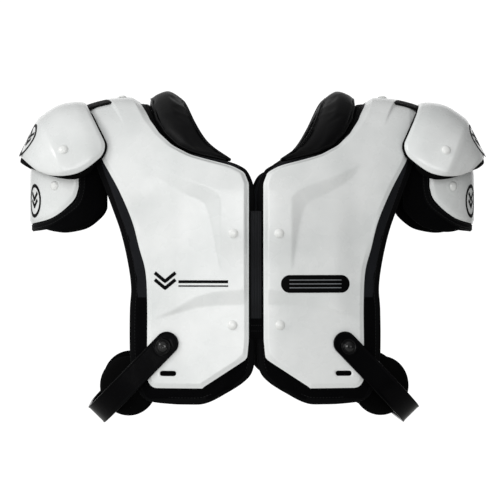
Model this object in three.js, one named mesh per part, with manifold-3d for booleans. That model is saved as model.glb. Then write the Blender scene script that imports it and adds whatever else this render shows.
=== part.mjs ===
import * as THREE from 'three';
import Module from 'manifold-3d';

const wasm = await Module();
wasm.setup();

// Football shoulder pad, millimetres, +Z up, front towards -Y, the wearer's left at +X.
// The origin lies on the centre plane, under the shoulders, where the pad rests on its wearer.

// Arch form that plates and liners share.
const CREST_HEIGHT = 28;
const CREST_ACROSS = 150;
const CREST_SPREAD = 48;
const CREST_DROP_INNER = 1;
const CREST_DROP_OUTER = 8.5;
const ARCH_RISE = 120;
const ARCH_PATH = 190;
const CHEST_HALF_DEPTH = 135;
const SIDE_WRAP = 45;
const WRAP_WIDTH = 200;
const WRAP_POWER = 1.6;
const LEG_LENGTH = 221;
const LEG_LEAN = 10;

// Plates.
const PLATE_PATH = 411;
const PLATE_WIDTH = 198;
const PLATE_THICKNESS = 3;
const EDGE_BEVEL = 5;
const EDGE_THICKNESS = 1.4;

// Body liners.
const LINER_BELOW_PLATE = 18;
const LINER_PATH = PLATE_PATH + LINER_BELOW_PLATE;
const LINER_SHORT_OF_PLATE = 2;
const LINER_WIDTH = PLATE_WIDTH - LINER_SHORT_OF_PLATE;
const LINER_THICKNESS = 15;
const LINER_HEM = 9;
const LINER_HEM_THICKNESS = 7;

// Neck collar pads.
const COLLAR_PATH = 138;
const COLLAR_WIDTH = LINER_WIDTH - 72;
const COLLAR_CROWN = 12;
const COLLAR_DEPTH = 15;
const COLLAR_END_SHARE = 0.45;

// Epaulets.
const EPAULET_BEYOND_PLATE = 83;
const EPAULET_REACH = PLATE_WIDTH + EPAULET_BEYOND_PLATE;
const EPAULET_HEIGHT = 25;
const EPAULET_HALF_DEPTH = 104;
const EPAULET_DROP = 92;
const EPAULET_THICKNESS = 3;
const EPAULET_PAD_THICKNESS = 7.5;
const EPAULET_PAD_SHOWN = 0.05;

// Shoulder cups, a dome standing on an upright elliptic tube.
const CUP_WITHIN_EPAULET = 81;
const CUP_ACROSS = EPAULET_REACH - CUP_WITHIN_EPAULET;
const CUP_OUT = 68;
const CUP_HALF_DEPTH = 78;
const CUP_CENTRE_HEIGHT = -70;
const CUP_RISE = 78;
const CUP_DROP = 122;
const CUP_THICKNESS = 3;
const CUP_PAD_DROP = 132;
const CUP_PAD_THICKNESS = 9;

// Webs and straps.
const WEB_THICKNESS = 2;
const HINGE_WEB_WIDTH = 62;
const HINGE_WEB_START = PLATE_WIDTH - 30;
const HINGE_WEB_LEAVES = PLATE_WIDTH - 1;
const HINGE_WEB_LANDS = CUP_ACROSS + 14;
const HINGE_WEB_END = CUP_ACROSS + 30;
const HINGE_WEB_LIFT = 0.7;
const CENTRE_WEB_WIDTH = 52;
const CENTRE_WEB_TOP = 206;
const CENTRE_WEB_BOTTOM = 352;
const CENTRE_WEB_THICKNESS = 1.5;
const STRAP_WIDTH = 27;
const STRAP_THICKNESS = 2.6;
const STRAP_FALL_DEGREES = 46;
const STRAP_REACH = 112;
const STRAP_STRAIGHT = 56;
const STRAP_ACROSS = PLATE_WIDTH - 91;
const STRAP_ALONG = PLATE_PATH - 47.5;
const STRAP_PAST_SCREW = 6;

// Rib pads.
const RIB_PAD_RADIUS = 33;
const RIB_PAD_THICKNESS = 13;
const RIB_PAD_ACROSS = LINER_WIDTH - 40;
const RIB_PAD_ALONG = PLATE_PATH - 3;

// Rivets, screws, washers and slots.
const RIVET_HEAD_RADIUS = 5.5;
const RIVET_HEAD_HEIGHT = 2.4;
const RIVET_SHANK_RADIUS = 2;
const WASHER_RADIUS = 9.3;
const WASHER_THICKNESS = 1.4;
const SCREW_HEAD_RADIUS = 6.2;
const SCREW_HEAD_HEIGHT = 2.6;
const SCREW_SHANK_RADIUS = 2.6;
const SLOT_LENGTH = 19;
const SLOT_WIDTH = 6;
const SLOT_ACROSS = PLATE_WIDTH - 96;
const SLOT_ALONG = PLATE_PATH - 17;

// Clearances.
const LAYER_GAP = 0.5;
const SIDE_GAP = 0.4;
const RIB_PAD_GAP = 0.9;
const LINER_GAP = 0.8;
const SEAT_GAP = 0.3;
const SHANK_GAP = 0.35;
const SHANK_SHORT = 0.4;

// Edges of a plate, as shares of PLATE_PATH and PLATE_WIDTH.
const PLATE_INNER = [
  { along: 0, across: 0.692 },
  { along: 0.081, across: 0.678 },
  { along: 0.117, across: 0.665 },
  { along: 0.198, across: 0.622 },
  { along: 0.255, across: 0.568 },
  { along: 0.3, across: 0.491 },
  { along: 0.331, across: 0.385 },
  { along: 0.349, across: 0.256 },
  { along: 0.362, across: 0.145 },
  { along: 0.383, across: 0.069 },
  { along: 0.419, across: 0.043 },
  { along: 0.864, across: 0.044 },
  { along: 0.916, across: 0.054 },
  { along: 1, across: 0.322 },
];
const PLATE_OUTER = [
  { along: 0, across: 0.99 },
  { along: 0.12, across: 0.988 },
  { along: 0.24, across: 0.962 },
  { along: 0.346, across: 0.905 },
  { along: 0.38, across: 0.872 },
  { along: 0.443, across: 0.805 },
  { along: 0.529, across: 0.729 },
  { along: 0.608, across: 0.685 },
  { along: 0.668, across: 0.651 },
  { along: 0.75, across: 0.64 },
  { along: 0.891, across: 0.64 },
  { along: 0.981, across: 0.626 },
  { along: 1, across: 0.57 },
];
const PLATE_STATIONS = [
  0, 0.08, 0.16, 0.23, 0.28, 0.312, 0.331, 0.345, 0.358, 0.383, 0.42, 0.462, 0.55, 0.66, 0.864,
  0.916, 0.981, 0.99, 1,
];
const PLATE_CELLS = [0.2, 0.6];

// Edges of a body liner, as shares of LINER_PATH and LINER_WIDTH.
const LINER_INNER = [
  { along: 0, across: 0.633 },
  { along: 0.112, across: 0.622 },
  { along: 0.189, across: 0.597 },
  { along: 0.245, across: 0.546 },
  { along: 0.287, across: 0.469 },
  { along: 0.31, across: 0.367 },
  { along: 0.321, across: 0.245 },
  { along: 0.328, across: 0.153 },
  { along: 0.34, across: 0.097 },
  { along: 0.352, across: 0.056 },
  { along: 0.374, across: 0.036 },
  { along: 0.4, across: 0.017 },
  { along: 0.436, across: 0.008 },
  { along: 0.88, across: 0.008 },
  { along: 0.902, across: 0.019 },
  { along: 0.92, across: 0.03 },
  { along: 0.945, across: 0.093 },
  { along: 0.975, across: 0.204 },
  { along: 0.996, across: 0.288 },
  { along: 1, across: 0.345 },
];
const LINER_OUTER = [
  { along: 0, across: 1 },
  { along: 0.2, across: 0.99 },
  { along: 0.342, across: 0.959 },
  { along: 0.413, across: 0.91 },
  { along: 0.473, across: 0.862 },
  { along: 0.528, across: 0.818 },
  { along: 0.585, across: 0.785 },
  { along: 0.65, across: 0.758 },
  { along: 0.696, across: 0.749 },
  { along: 0.737, across: 0.757 },
  { along: 0.865, across: 0.757 },
  { along: 0.916, across: 0.744 },
  { along: 0.96, across: 0.712 },
  { along: 0.988, across: 0.67 },
  { along: 0.996, across: 0.6 },
  { along: 1, across: 0.482 },
];
const LINER_LEG_STATIONS = [
  0.374, 0.399, 0.46, 0.55, 0.65, 0.696, 0.88, 0.92, 0.945, 0.975, 0.996, 1,
];
const LINER_CELLS = [0.5];

// Inner edge of a collar pad, as shares of COLLAR_PATH and COLLAR_WIDTH, and its cross-section as
// shares of the pad's width, COLLAR_CROWN and COLLAR_DEPTH.
const COLLAR_INNER = [
  { along: 0, across: 0.68 },
  { along: 0.28, across: 0.64 },
  { along: 0.53, across: 0.585 },
  { along: 0.7, across: 0.525 },
  { along: 0.83, across: 0.455 },
  { along: 0.91, across: 0.38 },
  { along: 0.978, across: 0.29 },
  { along: 1, across: 0.26 },
];
const COLLAR_SECTION = [
  { across: 0, top: -0.35, bottom: 0.55 },
  { across: 0.16, top: 0.55, bottom: 0.95 },
  { across: 0.5, top: 1, bottom: 1 },
  { across: 0.84, top: 0.55, bottom: 0.95 },
  { across: 1, top: -0.35, bottom: 0.55 },
];

// Ridge and lower edge of an epaulet from its inner to its outer side, as shares of
// EPAULET_REACH, EPAULET_HALF_DEPTH, EPAULET_HEIGHT and EPAULET_DROP.
const EPAULET_RIDGE = [
  { side: 0, across: 0.712, drop: 0.005 },
  { side: 0.22, across: 0.772, drop: 0 },
  { side: 0.42, across: 0.843, drop: 0.06 },
  { side: 0.6, across: 0.916, drop: 0.232 },
  { side: 0.8, across: 0.956, drop: 0.42 },
  { side: 1, across: 1, drop: 0.7 },
];
const EPAULET_SKIRT = [
  { side: 0, across: 0.609, depth: 0.9, drop: 0.66 },
  { side: 0.22, across: 0.665, depth: 0.98, drop: 0.82 },
  { side: 0.42, across: 0.725, depth: 1, drop: 0.945 },
  { side: 0.6, across: 0.785, depth: 0.99, drop: 0.995 },
  { side: 0.8, across: 0.84, depth: 0.9, drop: 1 },
  { side: 1, across: 0.9, depth: 0.74, drop: 0.975 },
];
const EPAULET_SIDES = [0, 0.04, 0.16, 0.22, 0.42, 0.6, 0.8, 0.96, 1];
const EPAULET_TURNS = [0, 0.2, 0.4, 0.6, 0.8, 0.96, 1];
const EPAULET_PAD_SIDES = [0.16, 0.22, 0.42, 0.6, 0.8, 0.96];

// Lower edge of a cup and of its pad, and the pad's upper edge, by the angle from the side
// towards the front, as shares of CUP_DROP or CUP_PAD_DROP.
const CUP_EDGE = [
  { turn: 0, drop: 1 },
  { turn: 30, drop: 0.985 },
  { turn: 50, drop: 0.955 },
  { turn: 63, drop: 0.9 },
  { turn: 74, drop: 0.82 },
  { turn: 81, drop: 0.74 },
  { turn: 84, drop: 0.64 },
];
const CUP_PAD_EDGE = [
  { turn: 0, drop: 0.9 },
  { turn: 24, drop: 0.935 },
  { turn: 43, drop: 0.98 },
  { turn: 61, drop: 1 },
  { turn: 77, drop: 0.985 },
  { turn: 90, drop: 0.955 },
  { turn: 100, drop: 0.9 },
  { turn: 109, drop: 0.83 },
  { turn: 113, drop: 0.77 },
];
const CUP_PAD_TOP = [
  { turn: 0, climb: 0.3 },
  { turn: 84, climb: 0.3 },
  { turn: 90, climb: 0.5 },
  { turn: 100, climb: 0.74 },
  { turn: 113, climb: 0.86 },
];
const CUP_TURNS = [0, 15, 30, 50, 63, 74, 81, 84];
const CUP_PAD_TURNS = [0, 15, 30, 50, 63, 74, 84, 94, 104, 113];
const CUP_CLIMBS = [0.3, 0.53, 0.77, 1];
const CUP_TUBE_CELLS = [0.9, 1];
const PAD_EDGE_SHARE = 0.45;

// Rivet places: on the plates by path and distance across, on the shells by their own shares.
const PLATE_RIVETS = [
  { name: 'upper', along: 232, across: 26 },
  { name: 'lower', along: 338, across: 27.5 },
];
const CREST_RIVET = { along: 0, across: PLATE_WIDTH - 41 };
const EPAULET_RIVET = { side: 0.5, turn: 0.76 };
const CUP_RIVET = { turn: 58, climb: 1.06 };

const SIDES = [
  { name: 'l', sign: -1 },
  { name: 'r', sign: 1 },
];
const FACES = [
  { name: 'front', sign: 1 },
  { name: 'back', sign: -1 },
];
const QUARTER_TURN = Math.PI / 2;
const KNEE_HEIGHT = CREST_HEIGHT - ARCH_RISE;

const polyethylene = { color: 0xe9ecec, roughness: 0.38, metalness: 0 };
const knit = { color: 0x1b1c1f, roughness: 0.85, metalness: 0 };
const foam = { color: 0x141416, roughness: 0.9, metalness: 0 };
const webbing = { color: 0x26272a, roughness: 0.8, metalness: 0 };
const strapPlastic = { color: 0x17181a, roughness: 0.42, metalness: 0 };
const nylon = { color: 0xf0f1ef, roughness: 0.3, metalness: 0 };
const steel = { color: 0x3a3c40, roughness: 0.35, metalness: 0.9 };

// Value of one column of a table at a place along it, on a smooth or a straight line.
function read(table, key, place, column, smooth) {
  let i = 0;
  while (i < table.length - 2 && table[i + 1][key] <= place) {
    i += 1;
  }
  const from = table[i];
  const to = table[i + 1];
  const t = (place - from[key]) / (to[key] - from[key]);
  if (!smooth || t < 0 || t > 1) {
    return from[column] + (to[column] - from[column]) * t;
  }
  const before = table[Math.max(i - 1, 0)];
  const after = table[Math.min(i + 2, table.length - 1)];
  const span = to[key] - from[key];
  const slopeFrom = span * (to[column] - before[column]) / (to[key] - before[key]);
  const slopeTo = span * (after[column] - from[column]) / (after[key] - from[key]);
  const a = 2 * from[column] - 2 * to[column] + slopeFrom + slopeTo;
  const b = 3 * to[column] - 3 * from[column] - 2 * slopeFrom - slopeTo;
  return ((a * t + b) * t + slopeFrom) * t + from[column];
}

function smoothStep(value) {
  const t = Math.min(Math.max(value, 0), 1);
  return t * t * (3 - 2 * t);
}

// A form gives the point at two parameters; raised() lifts that point off the form's outer face.
function raised(form, a, b, height) {
  const stepA = form.steps[0];
  const stepB = form.steps[1];
  const alongA = form.point(a + stepA, b).sub(form.point(a - stepA, b));
  const alongB = form.point(a, b + stepB).sub(form.point(a, b - stepB));
  const normal = alongB.cross(alongA).normalize();
  return form.point(a, b).addScaledVector(normal, height);
}

// Outward normal of a form at two parameters.
function normalOf(form, a, b) {
  return raised(form, a, b, 1).sub(form.point(a, b));
}

function halfDepth(across) {
  return CHEST_HALF_DEPTH - SIDE_WRAP * Math.abs(across / WRAP_WIDTH) ** WRAP_POWER;
}

function crestHeight(across) {
  const drop = across > CREST_ACROSS ? CREST_DROP_OUTER : CREST_DROP_INNER;
  return CREST_HEIGHT - drop * ((across - CREST_ACROSS) / CREST_SPREAD) ** 2;
}

// Outer face of the plates: across from the centre plane, along over the crest to the front.
const archForm = {
  steps: [0.5, 0.5],
  point(across, along) {
    const turn = Math.min(Math.abs(along) / ARCH_PATH, 1) * QUARTER_TURN;
    const leg = Math.max(Math.abs(along) - ARCH_PATH, 0);
    const depth = halfDepth(across) * Math.sin(turn) + LEG_LEAN * (leg / LEG_LENGTH) ** 2;
    const rise = (crestHeight(across) - KNEE_HEIGHT) * Math.cos(turn);
    return new THREE.Vector3(across, -depth * Math.sign(along), KNEE_HEIGHT + rise - leg);
  },
};

// Outer face of an epaulet: side from the inner to the outer edge, turn from ridge to skirt.
const epauletForm = {
  steps: [0.002, 0.002],
  point(side, turn) {
    const share = (table, column) => read(table, 'side', side, column, true);
    const angle = Math.abs(turn) * QUARTER_TURN;
    const fall = 1 - Math.cos(angle);
    const ridgeAcross = share(EPAULET_RIDGE, 'across');
    const ridgeDrop = share(EPAULET_RIDGE, 'drop');
    const across = ridgeAcross + (share(EPAULET_SKIRT, 'across') - ridgeAcross) * fall;
    const drop = ridgeDrop + (share(EPAULET_SKIRT, 'drop') - ridgeDrop) * fall;
    const depth = share(EPAULET_SKIRT, 'depth') * Math.sin(angle) * Math.sign(turn);
    return new THREE.Vector3(
      EPAULET_REACH * across,
      -EPAULET_HALF_DEPTH * depth,
      EPAULET_HEIGHT - EPAULET_DROP * drop,
    );
  },
};

// Outer face of a cup: climb 0 at the top of the dome, 1 at its widest, turn in degrees from
// the side towards the front.
const cupForm = {
  steps: [0.01, 0.5],
  point(climb, turn) {
    const angle = Math.min(climb, 1) * QUARTER_TURN;
    const radius = Math.sin(angle);
    const below = Math.max(climb - 1, 0) * CUP_RISE * QUARTER_TURN;
    const round = THREE.MathUtils.degToRad(turn);
    return new THREE.Vector3(
      CUP_ACROSS + CUP_OUT * radius * Math.cos(round),
      -CUP_HALF_DEPTH * radius * Math.sin(round),
      CUP_CENTRE_HEIGHT + CUP_RISE * Math.cos(angle) - below,
    );
  },
};

// Climb on the cup's form that lies at a height.
function climbAt(height) {
  const rise = (height - CUP_CENTRE_HEIGHT) / CUP_RISE;
  if (rise >= 0) {
    return Math.acos(Math.min(rise, 1)) / QUARTER_TURN;
  }
  return 1 - rise / QUARTER_TURN;
}

// Upper face that the hinge web lies on: over the plate's crest, then down to the cup's dome.
const hingeForm = {
  steps: [0.5, 0.5],
  point(across, depth) {
    const overPlate = Math.sqrt(1 - (depth / halfDepth(across)) ** 2);
    const plateTop = KNEE_HEIGHT + (crestHeight(across) - KNEE_HEIGHT) * overPlate;
    const outShare = Math.max(across - CUP_ACROSS, 0) / CUP_OUT;
    const overCup = Math.sqrt(1 - outShare ** 2 - (depth / CUP_HALF_DEPTH) ** 2);
    const cupTop = CUP_CENTRE_HEIGHT + CUP_RISE * overCup;
    const share = smoothStep(
      (across - HINGE_WEB_LEAVES) / (HINGE_WEB_LANDS - HINGE_WEB_LEAVES),
    );
    const top = plateTop + (cupTop + HINGE_WEB_LIFT - plateTop) * share;
    return new THREE.Vector3(across, -depth, top);
  },
};

// Strap: run along its path from the front screw to the back one, across its width.
const strapFall = THREE.MathUtils.degToRad(STRAP_FALL_DEGREES);
const strapAway = new THREE.Vector3(Math.cos(strapFall), 0, -Math.sin(strapFall));
const strapSide = new THREE.Vector3(Math.sin(strapFall), 0, Math.cos(strapFall));
const strapSeat = raised(archForm, STRAP_ACROSS, STRAP_ALONG, LAYER_GAP);
const strapNormal = normalOf(archForm, STRAP_ACROSS, STRAP_ALONG);
const strapLean = Math.atan2(strapNormal.dot(strapAway), -strapNormal.y);
const strapBendRadius = (STRAP_REACH - STRAP_STRAIGHT * Math.cos(strapLean)) / (1 - Math.sin(strapLean));
const strapBendStart = new THREE.Vector2(
  STRAP_STRAIGHT * Math.cos(strapLean),
  strapSeat.y + STRAP_STRAIGHT * Math.sin(strapLean),
);
const strapBendEnd = strapBendStart.y + strapBendRadius * Math.cos(strapLean);
const strapBendLength = strapBendRadius * (QUARTER_TURN - strapLean);
const strapHalfLength = STRAP_STRAIGHT + strapBendLength + Math.abs(strapBendEnd);

function strapPath(run) {
  const fromEnd = strapHalfLength - Math.abs(run);
  const back = run < 0 ? -1 : 1;
  let away = fromEnd * Math.cos(strapLean);
  let depth = strapSeat.y + fromEnd * Math.sin(strapLean);
  if (fromEnd > STRAP_STRAIGHT) {
    const bend = Math.min((fromEnd - STRAP_STRAIGHT) / strapBendRadius, QUARTER_TURN - strapLean);
    const angle = strapLean + bend;
    away = strapBendStart.x + strapBendRadius * (Math.sin(angle) - Math.sin(strapLean));
    depth = strapBendStart.y + strapBendRadius * (Math.cos(strapLean) - Math.cos(angle));
    depth += Math.max(fromEnd - STRAP_STRAIGHT - strapBendLength, 0);
  }
  return { away, depth: depth * back };
}

const strapTilt = strapNormal.dot(strapSide) / -strapNormal.y;
const strapForm = {
  steps: [0.5, 0.5],
  point(across, run) {
    const { away, depth } = strapPath(run);
    const place = new THREE.Vector3(strapSeat.x, 0, strapSeat.z).addScaledVector(strapAway, away);
    place.addScaledVector(strapSide, -across);
    const twist = Math.min(Math.max(run / (strapHalfLength - STRAP_STRAIGHT), -1), 1);
    place.y = depth - across * strapTilt * twist;
    return place;
  },
};

// Closed body between two faces of one form. The rows hold cells of { a, b, top, bottom }.
function layered(form, rows) {
  const across = rows[0].length;
  const count = rows.length * across;
  const positions = [];
  for (const face of ['top', 'bottom']) {
    for (const row of rows) {
      for (const cell of row) {
        positions.push(...raised(form, cell.a, cell.b, cell[face]).toArray());
      }
    }
  }
  const index = [];
  const quad = (p, q, r, s) => index.push(p, q, r, p, r, s);
  for (let i = 0; i < rows.length - 1; i += 1) {
    for (let j = 0; j < across - 1; j += 1) {
      const p = i * across + j;
      quad(p, p + 1, p + across + 1, p + across);
      quad(count + p, count + p + across, count + p + across + 1, count + p + 1);
    }
  }
  for (let i = 0; i < rows.length - 1; i += 1) {
    const p = i * across;
    const q = p + across - 1;
    quad(p, p + across, count + p + across, count + p);
    quad(q, count + q, count + q + across, q + across);
  }
  for (let j = 0; j < across - 1; j += 1) {
    const p = (rows.length - 1) * across + j;
    quad(j, count + j, count + j + 1, j + 1);
    quad(p, p + 1, count + p + 1, count + p);
  }
  return outward({ positions, index });
}

// Body turned about the local z axis; the profile runs round the section from top to bottom.
function turned(profile, segments, frame) {
  const onAxis = profile[0].radius === 0;
  const positions = [];
  const rings = [];
  for (const { radius, height } of profile) {
    const ring = [];
    const points = radius === 0 ? 1 : segments;
    for (let k = 0; k < points; k += 1) {
      const angle = (k / segments) * 2 * Math.PI;
      const place = new THREE.Vector3(radius * Math.cos(angle), radius * Math.sin(angle), height);
      ring.push(positions.length / 3);
      positions.push(...place.applyMatrix4(frame).toArray());
    }
    rings.push(ring);
  }
  const index = [];
  const last = onAxis ? rings.length - 1 : rings.length;
  for (let i = 0; i < last; i += 1) {
    const upper = rings[i];
    const lower = rings[(i + 1) % rings.length];
    for (let k = 0; k < segments; k += 1) {
      const next = (k + 1) % segments;
      const u0 = upper[k % upper.length];
      const u1 = upper[next % upper.length];
      const l0 = lower[k % lower.length];
      const l1 = lower[next % lower.length];
      if (lower.length > 1) {
        index.push(u0, l0, l1);
      }
      if (upper.length > 1) {
        index.push(u0, l1, u1);
      }
    }
  }
  return outward({ positions, index });
}

// The same body with its faces turned to point out.
function outward(body) {
  const { positions, index } = body;
  const corner = (i) => new THREE.Vector3().fromArray(positions, 3 * index[i]);
  let volume = 0;
  for (let i = 0; i < index.length; i += 3) {
    volume += corner(i).dot(corner(i + 1).cross(corner(i + 2)));
  }
  if (volume < 0) {
    for (let i = 0; i < index.length; i += 3) {
      [index[i + 1], index[i + 2]] = [index[i + 2], index[i + 1]];
    }
  }
  return body;
}

function solidOf(body) {
  const mesh = new wasm.Mesh({
    numProp: 3,
    vertProperties: new Float32Array(body.positions),
    triVerts: new Uint32Array(body.index),
  });
  mesh.merge();
  return new wasm.Manifold(mesh);
}

// The body with tools cut out of it.
function cut(body, tools) {
  let solid = solidOf(body);
  for (const tool of tools) {
    solid = solid.subtract(solidOf(tool));
  }
  const mesh = solid.getMesh();
  return { positions: Array.from(mesh.vertProperties), index: Array.from(mesh.triVerts) };
}

const group = new THREE.Group();

// Adds a body for one side, mirrored when it is the side at -X.
function add(name, body, look, sign) {
  const positions = body.positions.map((value, i) => (i % 3 === 0 ? sign * value : value));
  const geometry = new THREE.BufferGeometry();
  geometry.setAttribute('position', new THREE.Float32BufferAttribute(positions, 3));
  geometry.setIndex(outward({ positions, index: [...body.index] }).index);
  geometry.computeVertexNormals();
  const mesh = new THREE.Mesh(geometry, new THREE.MeshStandardMaterial(look));
  mesh.name = name;
  group.add(mesh);
}

// Frame whose z axis is the form's outward normal, standing off its outer face by height.
function frameOn(form, a, b, height, across) {
  const normal = normalOf(form, a, b);
  const x = across.clone().addScaledVector(normal, -across.dot(normal)).normalize();
  const y = normal.clone().cross(x);
  const frame = new THREE.Matrix4().makeBasis(x, y, normal);
  return frame.setPosition(raised(form, a, b, height));
}

function mirroredStations(shares, path) {
  const front = shares.map((share) => share * path);
  return [...front.slice(1).reverse().map((value) => -value), ...front];
}

// Hole through a sheet for a shank.
function shankHole(frame, radius, depth) {
  return turned([
    { radius: 0, height: depth },
    { radius: radius + SHANK_GAP, height: depth },
    { radius: radius + SHANK_GAP, height: -depth },
    { radius: 0, height: -depth },
  ], 8, frame);
}

// Domed rivet, its shank ending inside the sheet it holds.
function rivet(frame) {
  const length = SEAT_GAP + PLATE_THICKNESS - SHANK_SHORT;
  return turned([
    { radius: 0, height: RIVET_HEAD_HEIGHT },
    { radius: RIVET_HEAD_RADIUS * 0.72, height: RIVET_HEAD_HEIGHT * 0.7 },
    { radius: RIVET_HEAD_RADIUS, height: 0 },
    { radius: RIVET_SHANK_RADIUS, height: 0 },
    { radius: RIVET_SHANK_RADIUS, height: -length },
    { radius: 0, height: -length },
  ], 8, frame);
}

const acrossAxis = new THREE.Vector3(1, 0, 0);
const plateInner = (along) => (
  PLATE_WIDTH * read(PLATE_INNER, 'along', Math.abs(along) / PLATE_PATH, 'across', false)
);
const plateOuter = (along) => (
  PLATE_WIDTH * read(PLATE_OUTER, 'along', Math.abs(along) / PLATE_PATH, 'across', true)
);
const linerInner = (along) => (
  LINER_WIDTH * read(LINER_INNER, 'along', Math.abs(along) / LINER_PATH, 'across', false)
);
const linerOuter = (along) => (
  LINER_WIDTH * read(LINER_OUTER, 'along', Math.abs(along) / LINER_PATH, 'across', true)
);

// Arch plate: bevelled all round, holed for its rivets and strap screws, slotted for the hooks.
function archPlate() {
  const rows = mirroredStations(PLATE_STATIONS, PLATE_PATH).map((along) => {
    const inner = plateInner(along);
    const outer = plateOuter(along);
    const flat = outer - inner - 2 * EDGE_BEVEL;
    const lip = PLATE_PATH - Math.abs(along) < EDGE_BEVEL / 2;
    const places = [
      inner,
      inner + EDGE_BEVEL,
      ...PLATE_CELLS.map((share) => inner + EDGE_BEVEL + share * flat),
      outer - EDGE_BEVEL,
      outer,
    ];
    return places.map((across, j) => {
      const edge = lip || j === 0 || j === places.length - 1;
      return {
        a: across,
        b: along,
        top: edge ? EDGE_THICKNESS - PLATE_THICKNESS : 0,
        bottom: -PLATE_THICKNESS,
      };
    });
  });
  const tools = [];
  for (const { sign } of FACES) {
    for (const { along, across } of PLATE_RIVETS) {
      const frame = frameOn(archForm, across, sign * along, 0, acrossAxis);
      tools.push(shankHole(frame, RIVET_SHANK_RADIUS, 2 * PLATE_THICKNESS));
    }
    const screwFrame = frameOn(archForm, STRAP_ACROSS, sign * STRAP_ALONG, 0, acrossAxis);
    tools.push(shankHole(screwFrame, SCREW_SHANK_RADIUS, 2 * PLATE_THICKNESS));
    const slotFrame = frameOn(archForm, SLOT_ACROSS, sign * SLOT_ALONG, 0, acrossAxis);
    tools.push(slotTool(slotFrame));
  }
  const crest = frameOn(archForm, CREST_RIVET.across, CREST_RIVET.along, 0, acrossAxis);
  tools.push(shankHole(crest, RIVET_SHANK_RADIUS, 2 * PLATE_THICKNESS));
  return cut(layered(archForm, rows), tools);
}

// Round-ended slot that a hook passes through.
function slotTool(frame) {
  const shape = new THREE.Shape();
  const half = (SLOT_LENGTH - SLOT_WIDTH) / 2;
  shape.absarc(half, 0, SLOT_WIDTH / 2, -QUARTER_TURN, QUARTER_TURN, false);
  shape.absarc(-half, 0, SLOT_WIDTH / 2, QUARTER_TURN, 3 * QUARTER_TURN, false);
  const extrude = { depth: 4 * PLATE_THICKNESS, bevelEnabled: false, curveSegments: 2 };
  const geometry = new THREE.ExtrudeGeometry(shape, extrude);
  geometry.translate(0, 0, -2 * PLATE_THICKNESS);
  geometry.applyMatrix4(frame);
  const positions = Array.from(geometry.getAttribute('position').array);
  const index = positions.length / 3;
  return { positions, index: Array.from({ length: index }, (_, i) => i) };
}

// Body liner: quilted pad under the plate, thinner along its hem. Under the centre web it lies
// lower by the web's thickness.
function bodyLiner() {
  const arch = PLATE_STATIONS.filter((share) => share * PLATE_PATH < 0.36 * LINER_PATH);
  const shares = arch.map((share) => share * PLATE_PATH / LINER_PATH);
  const rows = mirroredStations([...shares, ...LINER_LEG_STATIONS], LINER_PATH).map((along) => {
    const inner = linerInner(along);
    const outer = linerOuter(along);
    const flat = outer - inner - 2 * LINER_HEM;
    const hemRow = LINER_PATH - Math.abs(along) < LINER_HEM / 2;
    const places = [
      inner,
      inner + LINER_HEM,
      inner + LINER_HEM + flat * LINER_CELLS[0],
      outer - LINER_HEM,
      outer,
    ];
    return places.map((across, j) => {
      const edge = hemRow || j === 0 || j === places.length - 1;
      const underWeb = 1 - smoothStep((across - CENTRE_WEB_WIDTH / 2 - 2) / LINER_HEM);
      const web = CENTRE_WEB_THICKNESS + LAYER_GAP;
      const top = -PLATE_THICKNESS - LINER_GAP - web * underWeb;
      return {
        a: across,
        b: along,
        top: edge ? top - 1 : top,
        bottom: edge ? top - LINER_HEM_THICKNESS : top - LINER_THICKNESS,
      };
    });
  });
  return layered(archForm, rows);
}

// Neck collar pad: a roll along the liner's neck edge, standing above the plates.
function neckCollar() {
  const arch = PLATE_STATIONS.filter((share) => share * PLATE_PATH < 0.98 * COLLAR_PATH);
  const shares = [...arch.map((share) => share * PLATE_PATH / COLLAR_PATH), 1];
  const rows = mirroredStations(shares, COLLAR_PATH).map((along) => {
    const place = Math.abs(along) / COLLAR_PATH;
    const outer = linerInner(along) - SIDE_GAP;
    const inner = COLLAR_WIDTH * read(COLLAR_INNER, 'along', place, 'across', true);
    const full = 1 - (1 - COLLAR_END_SHARE) * place ** 2;
    return COLLAR_SECTION.map(({ across, top, bottom }) => ({
      a: outer + (inner - outer) * across,
      b: along,
      top: top * COLLAR_CROWN * full,
      bottom: -bottom * COLLAR_DEPTH * full,
    }));
  });
  return layered(archForm, rows);
}

function mirrored(values) {
  return [...values.slice(1).reverse().map((value) => -value), ...values];
}

// Epaulet: moulded saddle over the shoulder's end.
function epaulet() {
  const rows = mirrored(EPAULET_TURNS).map((turn) => EPAULET_SIDES.map((side, j) => {
    const edge = Math.abs(turn) === 1 || j === 0 || j === EPAULET_SIDES.length - 1;
    return {
      a: side,
      b: turn,
      top: edge ? EDGE_THICKNESS - EPAULET_THICKNESS : 0,
      bottom: -EPAULET_THICKNESS,
    };
  }));
  const tools = FACES.map(({ sign }) => shankHole(
    frameOn(epauletForm, EPAULET_RIVET.side, sign * EPAULET_RIVET.turn, 0, acrossAxis),
    RIVET_SHANK_RADIUS,
    2 * EPAULET_THICKNESS,
  ));
  return cut(layered(epauletForm, rows), tools);
}

// Foam under the epaulet, its edge showing below the skirt and the outer rim.
function epauletPad() {
  const turns = [...EPAULET_TURNS, 1 + EPAULET_PAD_SHOWN];
  const sides = [...EPAULET_PAD_SIDES, 1 + EPAULET_PAD_SHOWN];
  const rows = mirrored(turns).map((turn) => sides.map((side, j) => {
    const edge = Math.abs(turn) > 1 || j === 0 || j === sides.length - 1;
    const top = -EPAULET_THICKNESS - LAYER_GAP;
    const thickness = edge ? EPAULET_PAD_THICKNESS * PAD_EDGE_SHARE : EPAULET_PAD_THICKNESS;
    return { a: side, b: turn, top, bottom: top - thickness };
  }));
  return layered(epauletForm, rows);
}

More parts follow.
